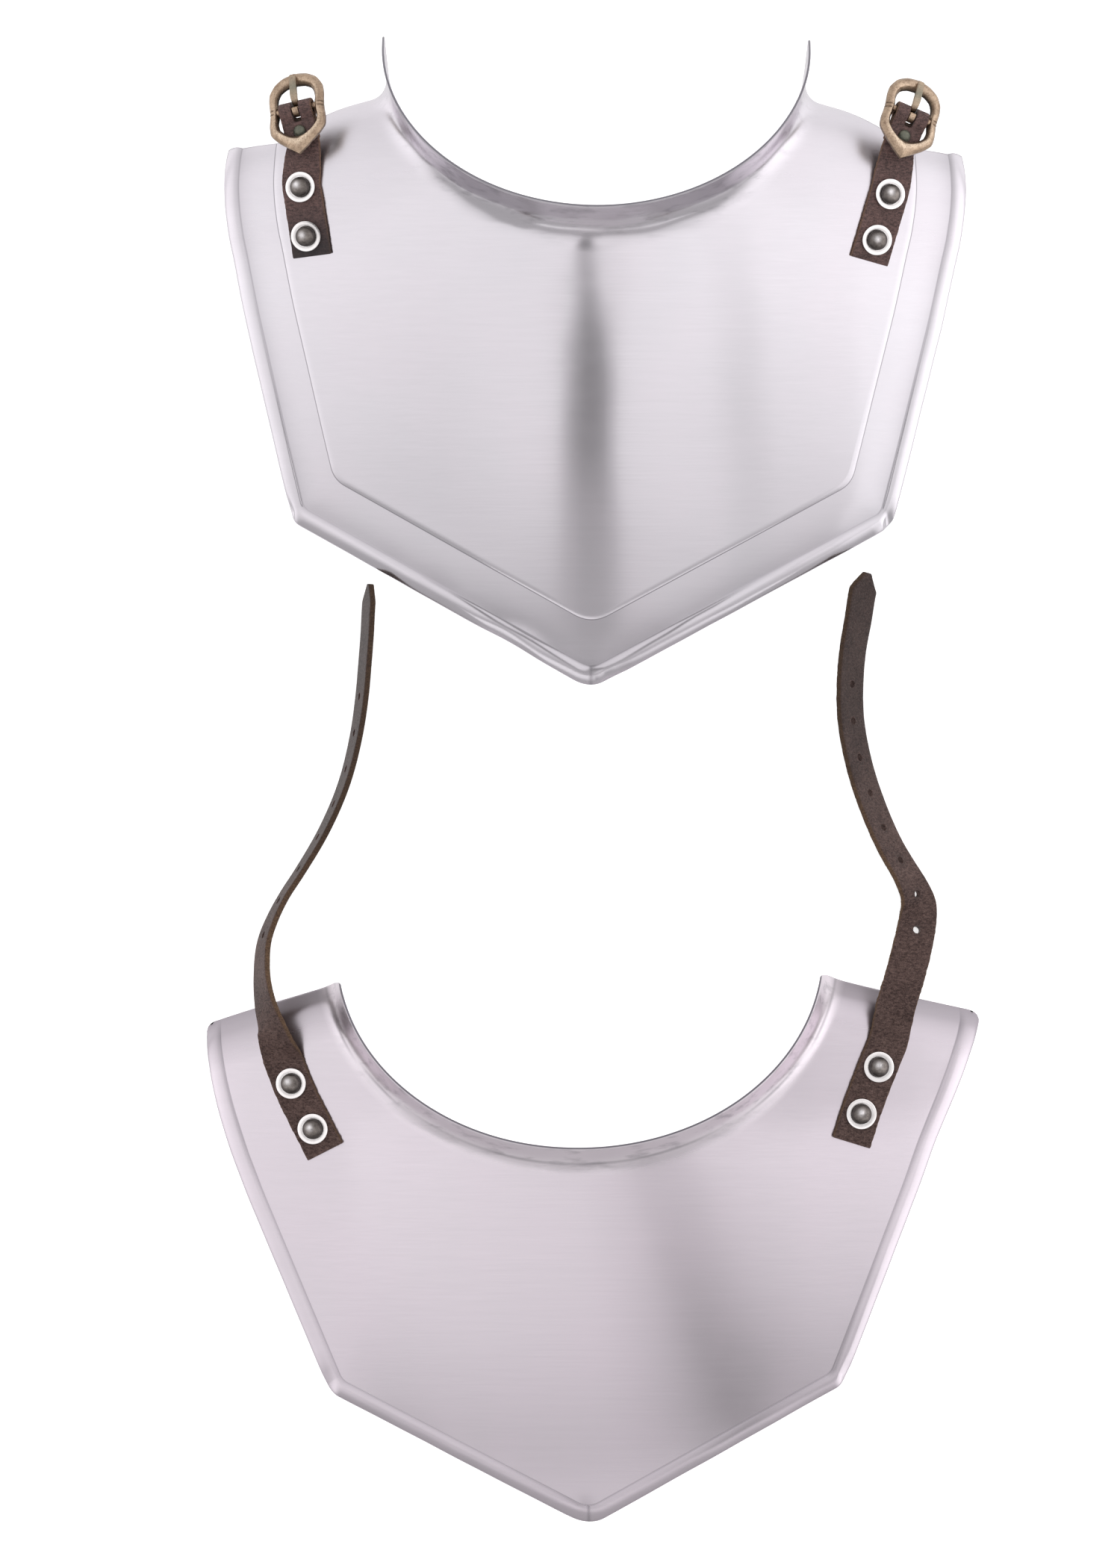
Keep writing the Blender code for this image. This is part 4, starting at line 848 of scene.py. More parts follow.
def slab(points, ups, widths, thick, soft=0.5, fray=0.0, seed=1, top_cols=10, low_cols=4, relief=None):
    """Closed slab with soft edges; relief gives extra height from distance along and across."""
    length = run_length(points)
    inset = np.array([0.0, END_SOFT * 0.3, END_SOFT])
    at = np.concatenate([inset, length[1:-1], length[-1] - inset[::-1]])
    shrink = np.zeros(len(at))
    shrink[[0, 1, -2, -1]] = (END_SOFT, END_SOFT * 0.35, END_SOFT * 0.35, END_SOFT)
    _, up, across = band_frames(points, ups)
    line, up, across = pick(at, length, points), unit(pick(at, length, up)), unit(pick(at, length, across))
    half = np.interp(at, length, widths) / 2
    rough = []
    for hand in (-1, 1):
        walk = np.stack([at, np.full(len(at), 7.0 * hand)], axis=1)
        rough.append(sum(wander(walk, size, seed + more + int(hand > 0)) * 0.5
                         for size, more in ((5.0, 0), (1.9, 5))))
    rows = slab_section(soft, thick, top_cols, low_cols)
    verts, marks = [], dict(edge=[], back=[], stain_and_shade=[])
    for i, shrunk in enumerate(shrink):
        inner = half[i] - soft - shrunk
        for k, shift, high, edge, back in rows:
            s = k * inner + shift
            if edge:
                s += fray * rough[int(k > 0)][i] * edge * np.sign(k)
            lift = relief(at[i], s) if relief and high >= thick * 0.49 else 0.0
            h = math.copysign(max(abs(high) - shrunk * 0.8, 0.1), high) if high else 0.0
            verts.append(line[i] + across[i] * s + up[i] * (h + lift))
            for key, value in (("edge", edge), ("back", back), ("stain_and_shade", 0.0)):
                marks[key].append(value)
    n, last = len(rows), (len(at) - 1) * len(rows)
    faces = [(i + k, i + (k + 1) % n, i + n + (k + 1) % n, i + n + k)
             for i in range(0, last, n) for k in range(n)]
    return verts, faces + [tuple(range(n)), tuple(range(last, last + n))], marks


# %% Turned bodies and punches
def round_frame(point, normal, hint=(0.0, 1.0, 0.0)):
    """Across, along and out of a small frame on a surface."""
    n = unit(normal)
    t = unit(np.asarray(hint) - (np.asarray(hint) @ n) * n)
    return np.asarray(point), np.array([np.cross(t, n), t, n])


def lathe(profile, segments, axes, closed=False, push=None):
    """Turned body round the third axis of a frame; push gives extra height from radius and angle."""
    origin, (first, second, axis) = axes
    verts, faces, rings = [], [], []
    for r, z in profile:
        angles = [2 * math.pi * k / segments for k in range(segments)] if r else [0.0]
        rings.append(range(len(verts), len(verts) + len(angles)))
        verts += [origin + first * r * math.cos(a) + second * r * math.sin(a)
                  + axis * (z + (push(r, a, z) if push else 0.0)) for a in angles]
    for a, b in zip(rings, rings[1:] + (rings[:1] if closed else [])):
        for k in range(segments):
            m = (k + 1) % segments
            if len(a) == 1:
                faces.append((a[0], b[m], b[k]))
            elif len(b) == 1:
                faces.append((a[k], a[m], b[0]))
            else:
                faces.append((a[k], a[m], b[m], b[k]))
    return verts, faces


def rod(name, axes, radius, reach, sides=28):
    """Plain round bar that reaches as far to either side of its middle."""
    profile = ((0.0, -reach), (radius, -reach), (radius, reach), (0.0, reach))
    return solid(name, *lathe(profile, sides, axes))


def punch(point, normal, radius, depth):
    return rod("punch", round_frame(point, normal), radius, depth)


# %% Long straps
STRAP_REACH, TIP_TAPER, TIP_WIDTH = 256.0, 8.0, 0.22
PUNCH_RADIUS, PUNCH_PITCH, PUNCH_FIRST, PUNCH_COUNT = 1.6, 16.8, 51.0, 8
HOLE_WEAR, HOLE_SHADE, HOLE_SHADE_REACH, HOLE_WALL_SHADE, STANDING_SHADE_DEPTH = 1.08, 1.1, 2.6, 1.4, 0.62
STANDING_SHADE = dict(left=(0.38, 0.58), right=(0.52, 0.74))
STRAP_CREASE = dict(left=40.0, right=47.0)
STRAP_PLACES = dict(
    left=dict(end=(-0.6595, -0.0058), rivets=((-0.6902, 0.0550), (-0.7477, 0.1731))),
    right=dict(end=(0.6868, 0.0175), rivets=((0.7096, 0.0942), (0.7517, 0.2164))),
)
STRAP_ROWS = dict(
    left=(
        (0.0000, 0.0000), (-0.0210, 0.0408), (-0.0605, 0.1197),
        (-0.0740, 0.1530), (-0.0960, 0.2183, 1.560, 48), (-0.1092, 0.2657, 1.240, 64),
        (-0.1140, 0.3183, 0.790, 72), (-0.1092, 0.3709, 0.560, 76), (-0.0947, 0.4104, 0.540, 79),
        (-0.0743, 0.4498, 0.535, 81), (-0.0487, 0.4893, 0.533, 81), (-0.0026, 0.5682, 0.533, 80),
        (0.0309, 0.6471, 0.533, 79), (0.0513, 0.7260, 0.533, 78), (0.0631, 0.8049, 0.533, 77),
        (0.0677, 0.8575, 0.533, 77), (0.0717, 0.9101, 0.533, 77), (0.0745, 0.9628, 0.533, 77),
        (0.0775, 0.9996, 0.533, 77),
    ),
    right=(
        (0.0000, 0.0000), (0.0158, 0.0513), (0.0447, 0.1328),
        (0.0600, 0.1750), (0.0800, 0.2420, 1.330, 8), (0.0947, 0.2894, 0.990, 5),
        (0.1060, 0.3300, 0.660, 8), (0.1160, 0.3740, 0.400, 16), (0.1203, 0.4143, 0.330, 28),
        (0.1144, 0.4400, 0.410, 42), (0.0980, 0.4735, 0.470, 51), (0.0750, 0.5129, 0.485, 53),
        (0.0395, 0.5919, 0.485, 53), (0.0145, 0.6708, 0.485, 53), (0.0007, 0.7497, 0.485, 53),
        (0.0000, 0.8154, 0.485, 53), (0.0046, 0.8681, 0.485, 53), (0.0138, 0.9207, 0.480, 52),
        (0.0224, 0.9733, 0.475, 51), (0.0300, 1.0040, 0.470, 50),
    ),
)


def strap_path(side, stations):
    """Middle line of a strap from its riveted end to its tip, and the way its face looks."""
    rows, hand = STRAP_ROWS[side], (-1.0 if side == "left" else 1.0)
    base = spot_on(BACK, STRAP_PLACES[side]["end"])
    knots, faced = [], []
    for across, ahead, *free in rows:
        x, y = base + np.array([across, ahead]) * STRAP_REACH
        if free:
            knots.append(np.array([x, y, free[0] * STRAP_WIDTH]))
            faced.append(None)
        else:
            spot, out = seated(BACK, x, y, GAP + STRAP_THICK / 2)
            knots.append(spot)
            faced.append(out)
    knots = np.array(knots)
    for i, way in enumerate(unit(np.gradient(knots, axis=0))):
        if faced[i] is None:
            right = unit(np.cross(way, (0.0, 0.0, 1.0)))
            lean = math.radians(rows[i][3])
            faced[i] = np.cross(right, way) * math.cos(lean) + right * math.sin(lean) * hand
    length = run_length(knots)
    table = np.column_stack([length, knots, faced])
    at = np.linspace(0, length[-1], stations)
    return soft_rows(at, table, (1, 2, 3)), unit(soft_rows(at, table, (4, 5, 6)))


def creases(centre, spread, depth, seed):
    """Height of fine folds across a band round one place."""
    rng = np.random.default_rng(seed)
    folds = [(centre + rng.normal() * spread, rng.uniform(-3.5, 3.5), rng.uniform(2.5, 6.0),
              rng.uniform(0.4, 1.0)) for _ in range(26)]

    def relief(at, s):
        near = math.exp(-((at - centre) / (spread * 1.8)) ** 2)
        if near < 0.02:
            return 0.0
        total = sum(strong * math.exp(-((at - spot - 0.12 * (s - mid)) / 0.42) ** 2)
                    * math.exp(-((s - mid) / wide) ** 2) for spot, mid, wide, strong in folds)
        return -depth * (min(total, 1.0) * near)
    return relief


def rivet_punches(plate, shares, thick):
    """Punches for the shanks of a band's rivets."""
    return [punch(*seated(plate, *spot_on(plate, share), GAP + thick / 2), SHANK + GAP, thick)
            for share in shares]


for side in ("left", "right"):
    points, ups = strap_path(side, stations=290)
    length = run_length(points)
    taper = np.minimum((length[-1] - length) / TIP_TAPER, 1.0)
    widths = STRAP_WIDTH * (TIP_WIDTH + (1 - TIP_WIDTH) * taper)
    node = "strap_" + side
    verts, faces, marks = slab(
        points, ups, widths, STRAP_THICK, soft=0.75, fray=0.22, seed=11 + ord(side[0]),
        relief=creases(STRAP_CREASE[side], 8.0, 0.22, ord(side[0])))
    # the standing free end is painted darker as shade, and so is the leather round the holes
    start, full = STANDING_SHADE[side]
    walked = np.array([np.argmin(((points - v) ** 2).sum(axis=1)) for v in verts]) / len(points)
    at = length[-1] - PUNCH_FIRST - PUNCH_PITCH * np.arange(PUNCH_COUNT)
    holes, outs = pick(at, length, points), unit(pick(at, length, band_frames(points, ups)[1]))
    near_hole = np.min([np.linalg.norm(np.array(verts) - hole, axis=1) for hole in holes], axis=0)
    marks["stain_and_shade"] = np.maximum(STANDING_SHADE_DEPTH * np.clip((walked - start) / (full - start), 0, 1),
                                HOLE_SHADE * np.exp(-(near_hole / HOLE_SHADE_REACH) ** 2))
    thing = piece(node, "gorget", verts, faces, strap_leather, marks)
    punches = rivet_punches(BACK, STRAP_PLACES[side]["rivets"], STRAP_THICK)
    for hole, out in zip(holes, outs):
        cutter = punch(hole, out, PUNCH_RADIUS * HOLE_WEAR, STRAP_THICK)
        # painted shade: the holes' walls are painted dark
        stain_and_shade = cutter.data.attributes.new("stain_and_shade", "FLOAT", "POINT")
        stain_and_shade.data.foreach_set("value", [HOLE_WALL_SHADE] * len(cutter.data.vertices))
        punches.append(cutter)
    carve(thing, punches)
    print(node, "length mm", round(length[-1], 1), "faces", len(thing.data.polygons))

# %% [markdown]
# A tab is riveted to the front plate, leaves the shoulder and turns once round the buckle bar. A
# slot where it turns lets the prong swing, and a small rivet closes the fold behind the bar.

# %% Tabs
TAB_PLACES = dict(
    left=dict(end=(-0.7548, -0.0979), rivets=((-0.7690, -0.0559), (-0.7827, 0.0439)), bar=(-0.8006, 0.2069)),
    right=dict(end=(0.7321, -0.1085), rivets=((0.7506, -0.0637), (0.7845, 0.0296)), bar=(0.8488, 0.1945)),
)
TAB_DIP, TAB_LEAVE, TAB_EASE = 4.0, 1.5, (0.35, 0.7)
FOLD_RISE, FOLD_FLAT = ((1.6, 0.88), (3.4, 0.48), (5.6, 0.04)), (6.1, 11.0)
FOLD_TURNS, FOLD_END, FOLD_KNEE = (0, 30, 60, 90, 120, 150, 180), 14.6, 17.1
SLOT_SHORT, SLOT_CORNER, SLOT_DEPTH = 1.5, 1.0, 0.72
TAB_CREASE = dict(left=34.0, right=36.0)
END_STAIN, END_STAIN_REACH = 1.35, 19.0
TURNS = {side: turn for turn in frame["joints"] for side in ("left", "right")
         if turn["name"] == f"buckle_{side}_turn"}


def tab_path(side):
    """Middle line of a tab round the buckle's bar, the way its face looks, and the bar's frame."""
    spots = TAB_PLACES[side]
    end, bar = spot_on(FRONT, spots["end"]), spot_on(FRONT, spots["bar"])
    run = unit(bar - end)
    leave = spot_on(FRONT, spots["rivets"][1]) + run * TAB_LEAVE
    points, ups = [], []
    for share in np.linspace(0.0, 1.0, 6):
        spot, out = seated(FRONT, *(end + (leave - end) * share), GAP + TAB_THICK / 2)
        points.append(spot)
        ups.append(out)
    skew = math.radians(BUCKLE_SKEW) * (1 if side == "left" else -1)
    run = np.array([run[0] * math.cos(skew) - run[1] * math.sin(skew),
                    run[0] * math.sin(skew) + run[1] * math.cos(skew)])
    dip = math.radians(TAB_DIP)
    way = np.array([run[0] * math.cos(dip), run[1] * math.cos(dip), -math.sin(dip)])
    middle, across = np.array(TURNS[side]["pos_m"]) / MM, np.array(TURNS[side]["axis"])
    up = np.cross(across, way)
    flat_half = GAP / 2 + TAB_THICK / 2
    wide = BAR_RADIUS + GAP + TAB_THICK / 2
    knee = middle + up * flat_half - way * FOLD_KNEE
    last, turned = points[-1], ups[-1]
    for share in TAB_EASE:
        points.append(last + (knee - last) * share)
        ups.append(unit(turned * (1 - share) + up * share))
    eye_row = len(points)
    over = [(-e, flat_half) for e in (FOLD_KNEE, *FOLD_FLAT[::-1])]
    rise = [(-e, flat_half + (wide - flat_half) * share) for e, share in FOLD_RISE[::-1]]
    fold = [(wide * math.sin(a), wide * math.cos(a)) for a in map(math.radians, FOLD_TURNS)]
    sink = [(e, -h) for e, h in rise[::-1]]
    under = [(-e, -flat_half) for e in (*FOLD_FLAT, FOLD_END)]
    line = np.array(over + rise + fold + sink + under)
    first = eye_row + len(over)
    slot = (first, first + len(rise) + len(fold) + len(sink) - 1)
    for (ahead, height), (ta, th) in zip(line, unit(np.gradient(line, axis=0))):
        points.append(middle + way * ahead + up * height)
        ups.append(up * ta - way * th)
    return dict(points=np.array(points), ups=np.array(ups), slot=slot, eye_row=eye_row,
                bar=middle, way=way, up=up, across=across)


def rounder(points, ups, widths, step):
    """Finer stations on the same line, with its bends kept."""
    length = run_length(points)
    at = np.unique(np.concatenate([np.arange(0, length[-1], step), length]))
    at = at[np.concatenate([[True], np.diff(at) > step * 0.3])]
    at[-1] = length[-1]
    table = np.column_stack([length, points, ups])
    return (soft_rows(at, table, (1, 2, 3)), unit(soft_rows(at, table, (4, 5, 6))),
            np.interp(at, length, widths), length)


def slot_cutter(points, ups, first, last):
    """Bent bar with round ends that cuts the prong's slot along a tab."""
    at = np.linspace(first, last, 80)
    length = run_length(points)
    line = pick(at, length, points)
    _, up, across = band_frames(line, unit(pick(at, length, ups)))
    near_end = 1 - np.clip(np.minimum(at - first, last - at) / SLOT_CORNER, 0, 1)
    half = SLOT_WIDTH / 2 - SLOT_CORNER * (1 - np.sqrt(1 - near_end ** 2))
    verts = [line[i] + across[i] * half[i] * s + up[i] * h * TAB_THICK * SLOT_DEPTH
             for i in range(len(at)) for s, h in ((-1, 1), (1, 1), (1, -1), (-1, -1))]
    faces = [(i + k, i + (k + 1) % 4, i + 4 + (k + 1) % 4, i + 4 + k)
             for i in range(0, len(verts) - 4, 4) for k in range(4)]
    return solid("slot", verts, faces + [(0, 1, 2, 3), tuple(range(len(verts) - 4, len(verts)))])


buckles = {}
for side in ("left", "right"):
    path = buckles[side] = tab_path(side)
    wide = np.full(len(path["points"]), STRAP_WIDTH)
    wide[path["eye_row"]:] = EYE_WIDTH
    wide[path["eye_row"] - 1] = (STRAP_WIDTH + EYE_WIDTH) / 2
    points, ups, widths, length = rounder(path["points"], path["ups"], wide, 0.8)
    node = "tab_" + side
    verts, faces, marks = slab(points, ups, widths, TAB_THICK, soft=0.6, fray=0.18, seed=31 + ord(side[0]),
                               relief=creases(TAB_CREASE[side], 4.5, 0.16, ord(side[0]) + 2))
    if side == "left":
        # only the left tab is stained dark, from its riveted end on
        away = [np.linalg.norm(v - path["points"][0]) for v in verts]
        marks["stain_and_shade"] = [float(np.clip(END_STAIN - far / END_STAIN_REACH, 0, 1)) for far in away]
    thing = piece(node, "gorget", verts, faces, tab_leather, marks)
    first, last = (length[row] for row in path["slot"])
    loop_at = path["bar"] - path["way"] * LOOP_RIVET_BACK
    carve(thing, [slot_cutter(points, ups, first, last - SLOT_SHORT),
                  *rivet_punches(FRONT, TAB_PLACES[side]["rivets"], TAB_THICK),
                  punch(loop_at, path["up"], LOOP_SHANK + GAP, TAB_THICK * 2)])
    print(node, "faces", len(thing.data.polygons))

# %% [markdown]
# Every rivet goes through a bright nickel washer. The heads are domed steel darkened to pewter,
# with the small flats that a hammer leaves on their crown, painted darker towards their rim as shade
# and with a painted highlight on the crown. Each washer is painted dark as shade where the head
# meets it. The tails inside the plate are plain.

# %% Fixings
def plain_steel(name, colour, wear_and_highlight, rough, grit):
    """Small turned metal part: cloudy colour, fine pits, soft roughness."""
    f = Finish(name, metallic=1.0)
    cloud = f.mm.noise(3.2, 4.0, 0.65)
    pits = f.mm.noise(0.5, 3.0, 0.6)
    grime_and_shade, crown_highlight = f.mark("grime_and_shade"), f.mark("wear_and_highlight")
    colour = cloud.ramp(0.3, 0.7).paint(rgb(*colour), rgb(*wear_and_highlight))
    # painted highlight: a light spot on a rivet's crown
    colour = (crown_highlight * (0.3 + cloud * 1.2)).clamped().paint(colour, rgb(222, 218, 220))
    # painted shade and grime: darker towards a rivet head's rim and where a head meets its washer, a real
    # stain on one washer, and evenly darker loop rivets
    colour = (grime_and_shade * (0.4 + pits * 1.0)).clamped().paint(colour, rgb(44, 40, 40))
    f.feed(base_color=colour,
           roughness=(rough + (cloud - 0.5) * 0.16 + (pits - 0.5) * 0.2 + grime_and_shade * 0.3).clamped())
    f.bump((pits, grit), (cloud, grit * 3))
    return f.material


pewter = plain_steel("dark rivet steel", (88, 81, 78), (140, 132, 128), 0.25, 0.05)
nickel = plain_steel("bright nickel", (238, 232, 232), (248, 244, 244), 0.16, 0.006)
green_brass = plain_steel("green brass", (104, 108, 98), (146, 144, 128), 0.45, 0.05)

HEAD_SEEN, WASHER_SEEN, CROWN_REACH, BEVEL = HEAD_RADIUS - 0.4, WASHER_RADIUS - 0.3, 4.3, 0.2
STAINED_WASHER = "front_washer_left_low"


def height_over(node, p, n):
    """Lowest and highest place of a plain solid over a point of its plate."""
    reach = [(np.array(v.co) / MM - p) @ n for v in frame["nodes"][node].data.vertices]
    return min(reach), max(reach)


def off_axis(verts, p, n):
    """Distance of points from a line."""
    return [np.linalg.norm((v - p) - ((v - p) @ n) * n) for v in verts]


def hammered(seed, strong, above):
    """Small flats on a rivet's crown, over some height."""
    rng = np.random.default_rng(seed)
    flats = [(rng.uniform(0.2, 2.6), rng.uniform(0, 6.28), rng.uniform(0.8, 1.5), rng.uniform(0.4, 1.0))
             for _ in range(7)]

    def push(r, a, z):
        x, y = r * math.cos(a), r * math.sin(a)
        away = [((x - q * math.cos(w)) ** 2 + (y - q * math.sin(w)) ** 2) / size ** 2
                for q, w, size, _ in flats]
        dents = sum(deep * math.exp(-far ** 2) for far, (*_, deep) in zip(away, flats))
        return -strong * min(1.0, dents) * max(0.0, 1 - r / CROWN_REACH) if z > above else 0.0
    return push


def quarter(count):
    """Angles of a quarter turn."""
    return [math.radians(d) for d in np.linspace(0, 90, count)]


def dress_washer(node, p, n):
    base, top = height_over(node, p, n)
    axes = round_frame(p, n)
    rim = [(WASHER_SEEN - BEVEL * (1 - math.cos(a)) * 0.6, top - BEVEL * (1 - math.sin(a)))
           for a in quarter(4)]
    rim[-1] = (WASHER_SEEN - BEVEL * 1.3, top)
    profile = [(SHANK + GAP, base), (WASHER_SEEN - 0.2, base), (WASHER_SEEN, base + 0.15), *rim,
               (6.0, top), (5.1, top - 0.03), (4.6, top - 0.16), (SHANK + GAP, top - 0.16)]
    verts, faces = lathe(profile, 72, axes, closed=True)
    out = off_axis(verts, p, n)
    # painted shade: a dark ring where the head meets the washer
    grime_and_shade = [0.6 * math.exp(-((r - 4.95) / 0.22) ** 2) for r in out]
    if node == STAINED_WASHER:
        spread = [math.atan2((v - p) @ axes[1][1], (v - p) @ axes[1][0]) for v in verts]
        grime_and_shade = [max(g, math.exp(-((a - 0.75) / 0.9) ** 2) * math.exp(-((r - 6.6) / 0.55) ** 2))
                 for g, a, r in zip(grime_and_shade, spread, out)]
    piece(node, "gorget", verts, faces, nickel, {"grime_and_shade": grime_and_shade}, sharp=55)


def dress_rivet(node, p, n, seed):
    tail_low, head_high = height_over(node, p, n)
    axes = round_frame(p, n)
    base, tail = head_high - HEAD_HEIGHT, tail_low + TAIL_HEIGHT
    profile = [(HEAD_SEEN * math.sin(a) ** 0.97, base + 0.35 + (HEAD_HEIGHT - 0.35) * math.cos(a))
               for a in quarter(13)]
    profile += [(HEAD_SEEN, base + 0.15), (HEAD_SEEN - 0.15, base), (SHANK, base), (SHANK, tail),
                (TAIL_RADIUS - 0.1, tail), (TAIL_RADIUS, tail - 0.15), (TAIL_RADIUS * 0.8, tail_low),
                (0.0, tail_low)]
    verts, faces = lathe(profile, 44, axes, push=hammered(seed, 0.42, base + 0.3))
    away = off_axis(verts, p, n)
    # painted shade: the dome darker towards its rim
    grime_and_shade = [0.75 * float(np.clip((r - 2.0) / 2.3, 0, 1)) ** 1.2 for r in away]
    # painted highlight: a light spot up and to the left of the crown's middle
    crown_at = p + axes[1][0] * -0.8 + axes[1][1] * 0.9
    wear_and_highlight = [math.exp(-(far / 1.4) ** 2) * (r < 4.4) for far, r in zip(off_axis(verts, crown_at, n), away)]
    piece(node, "gorget", verts, faces, pewter, {"grime_and_shade": grime_and_shade, "wear_and_highlight": wear_and_highlight}, sharp=50)


for plate, label, places in ((FRONT, "front", TAB_PLACES), (BACK, "back", STRAP_PLACES)):
    for side in ("left", "right"):
        for level, share in zip(("low", "high"), places[side]["rivets"]):
            p, n = seat(plate, *spot_on(plate, share))
            seed = len(made)
            dress_washer(f"{label}_washer_{side}_{level}", p, n)
            dress_rivet(f"{label}_rivet_{side}_{level}", p, n, seed)

for side, path in buckles.items():
    depth = 2 * TAB_THICK + 3 * GAP
    end = -depth - LOOP_TAIL[1]
    profile = [(LOOP_HEAD[0] * math.sin(a), LOOP_HEAD[1] * math.cos(a)) for a in quarter(10)]
    profile += [(LOOP_SHANK, 0.0), (LOOP_SHANK, -depth), (LOOP_TAIL[0], -depth),
                (LOOP_TAIL[0] * 0.8, end), (0.0, end)]
    spot = path["bar"] - path["way"] * LOOP_RIVET_BACK + path["up"] * (GAP / 2 + TAB_THICK + GAP)
    verts, faces = lathe(profile, 36, round_frame(spot, path["up"]),
                         push=hammered(60 + len(made), 0.18, 0.1))
    piece("loop_rivet_" + side, "gorget", verts, faces, green_brass,
          {"grime_and_shade": [0.3] * len(verts)}, sharp=50)
print("pieces so far", len(made))

# %% [markdown]
# The buckles are cast brass, left dull. The crown of the frame is painted brighter, more towards
# its lower end, wear and painted highlight together, and the frame is painted dark inside and in
# its grooves, patina and painted shade together, with a slight green of patina. Two grooves are
# filed across each side at the level of the bar.

# %% Buckles
BUCKLE_ROWS = (
    (0.000, 0.447, 0.000, 0.296), (0.133, 0.422, 0.102, 0.282), (0.243, 0.354, 0.175, 0.238),
    (0.306, 0.252, 0.209, 0.175), (0.318, 0.146, 0.218, 0.112), (0.314, 0.068, 0.210, 0.053),
    (0.312, 0.000, BUCKLE_WAIST, 0.000), (0.316, -0.068, 0.212, -0.058), (0.325, -0.160, 0.226, -0.131),
    (0.314, -0.262, 0.210, -0.208), (0.228, -0.366, 0.152, -0.276), (0.117, -0.462, 0.078, -0.322),
    (0.000, -0.557, 0.000, -0.337),
)
SIDE_GROOVES = (-0.95, 0.95)


def aged_brass(name):
    f = Finish(name, metallic=1.0)
    cloud = f.mm.noise(5.0, 4.0, 0.6)
    speck = f.mm.noise(0.7, 4.0, 0.7)
    streak = f.mm.stretched(0.7, 2.2, 1.0).noise(1.1, 3.0, 0.6)
    patina_and_shade, green, wear_and_highlight = f.mark("patina_and_shade"), f.mark("green"), f.mark("wear_and_highlight")
    colour = cloud.ramp(0.34, 0.66).paint(rgb(150, 127, 108), rgb(190, 165, 142))
    # wear and painted highlight: the crown of the frame painted brighter
    colour = (wear_and_highlight * (0.3 + cloud)).clamped().paint(colour, rgb(230, 209, 186))
    colour = (speck.ramp(0.46, 0.66) * 0.6).paint(colour, rgb(106, 84, 70))
    colour = (green * 0.5).clamped().paint(colour, rgb(124, 124, 112))
    # patina and painted shade: dark inside the frame, in its grooves and where the prong curls round the bar
    colour = (patina_and_shade * (0.9 + (speck - 0.5) * 0.5)).clamped().paint(colour, rgb(38, 32, 27))
    f.feed(base_color=colour,
           roughness=(0.34 + (cloud - 0.5) * 0.14 + (speck - 0.5) * 0.16 + patina_and_shade * 0.3).clamped())
    f.bump((streak, 0.02), (speck, 0.04), (cloud, 0.2))
    return f.material


brass = aged_brass("aged brass")


def ring_line():
    """Outline of the frame as rows of outer and inner edge, closed, dense at the side grooves."""
    rows = np.array(BUCKLE_ROWS) * BUCKLE_LENGTH
    table = np.column_stack([np.arange(-2, 13), np.vstack([rows[2:0:-1] * (-1, 1, -1, 1), rows])])
    at = np.unique(np.round(np.concatenate([np.linspace(0, 12, 70), np.linspace(5.2, 6.8, 26)]), 4))
    straight = pick(at, table[:, 0], table[:, 1:])
    half = 0.55 * soft_rows(at, table, (1, 2, 3, 4)) + 0.45 * straight
    half[0, [0, 2]] = half[-1, [0, 2]] = 0.0
    return np.vstack([half, half[-2:0:-1] * (-1, 1, -1, 1)])


def crown(share, y):
    """Height of the front face across its width, with the side grooves filed in."""
    high = float(np.interp(share, (0.0, 0.03, 0.24, 0.34, 0.66, 0.76, 0.97, 1.0),
                           (0.02, 0.06, 0.44, 0.50, 0.46, 0.40, 0.08, 0.04)))
    if share > 0.42:
        for g in SIDE_GROOVES:
            high -= 0.13 * math.exp(-((y - g) / 0.34) ** 2) * min(1.0, (share - 0.42) * 5)
    return high


FACE_SHARES = (0.0, 0.03, 0.12, 0.24, 0.30, 0.36, 0.50, 0.64, 0.70, 0.76, 0.88, 0.97, 1.0)
BUCKLE_CROSS = [(s, True) for s in FACE_SHARES] + [(s, False) for s in (1.0, 0.93, 0.75, 0.25, 0.07, 0.0)]


def buckle_point(share, y, face):
    """Height of one point of the frame's section, and its three marks: dark patina with painted shade, green
    patina, and wear with painted highlight.
    """
    if not face:
        high = -0.5 + 0.22 * (max(0.0, abs(2 * share - 1) - 0.5) * 2) ** 2
        return high, float(share < 0.5), 1.0, 0.0
    # patina and painted shade: darker towards the frame's inner edge and in the filed grooves
    groove = max(math.exp(-((y - g) / 0.3) ** 2) for g in SIDE_GROOVES) if share > 0.45 else 0.0
    inside = float(np.clip(1 - share / 0.16, 0, 1))
    low_end = 0.35 + 0.65 * float(np.clip(-y / 14.0, 0, 1))
    # wear and painted highlight: brightest along the crown, more towards the lower end
    wear_and_highlight = math.exp(-((share - 0.40) / 0.22) ** 2) * low_end if groove < 0.3 else 0.0
    return crown(share, y), max(0.6 * groove, inside), float(np.clip(share * 1.6 - 1.0, 0, 1)) * 0.5, wear_and_highlight


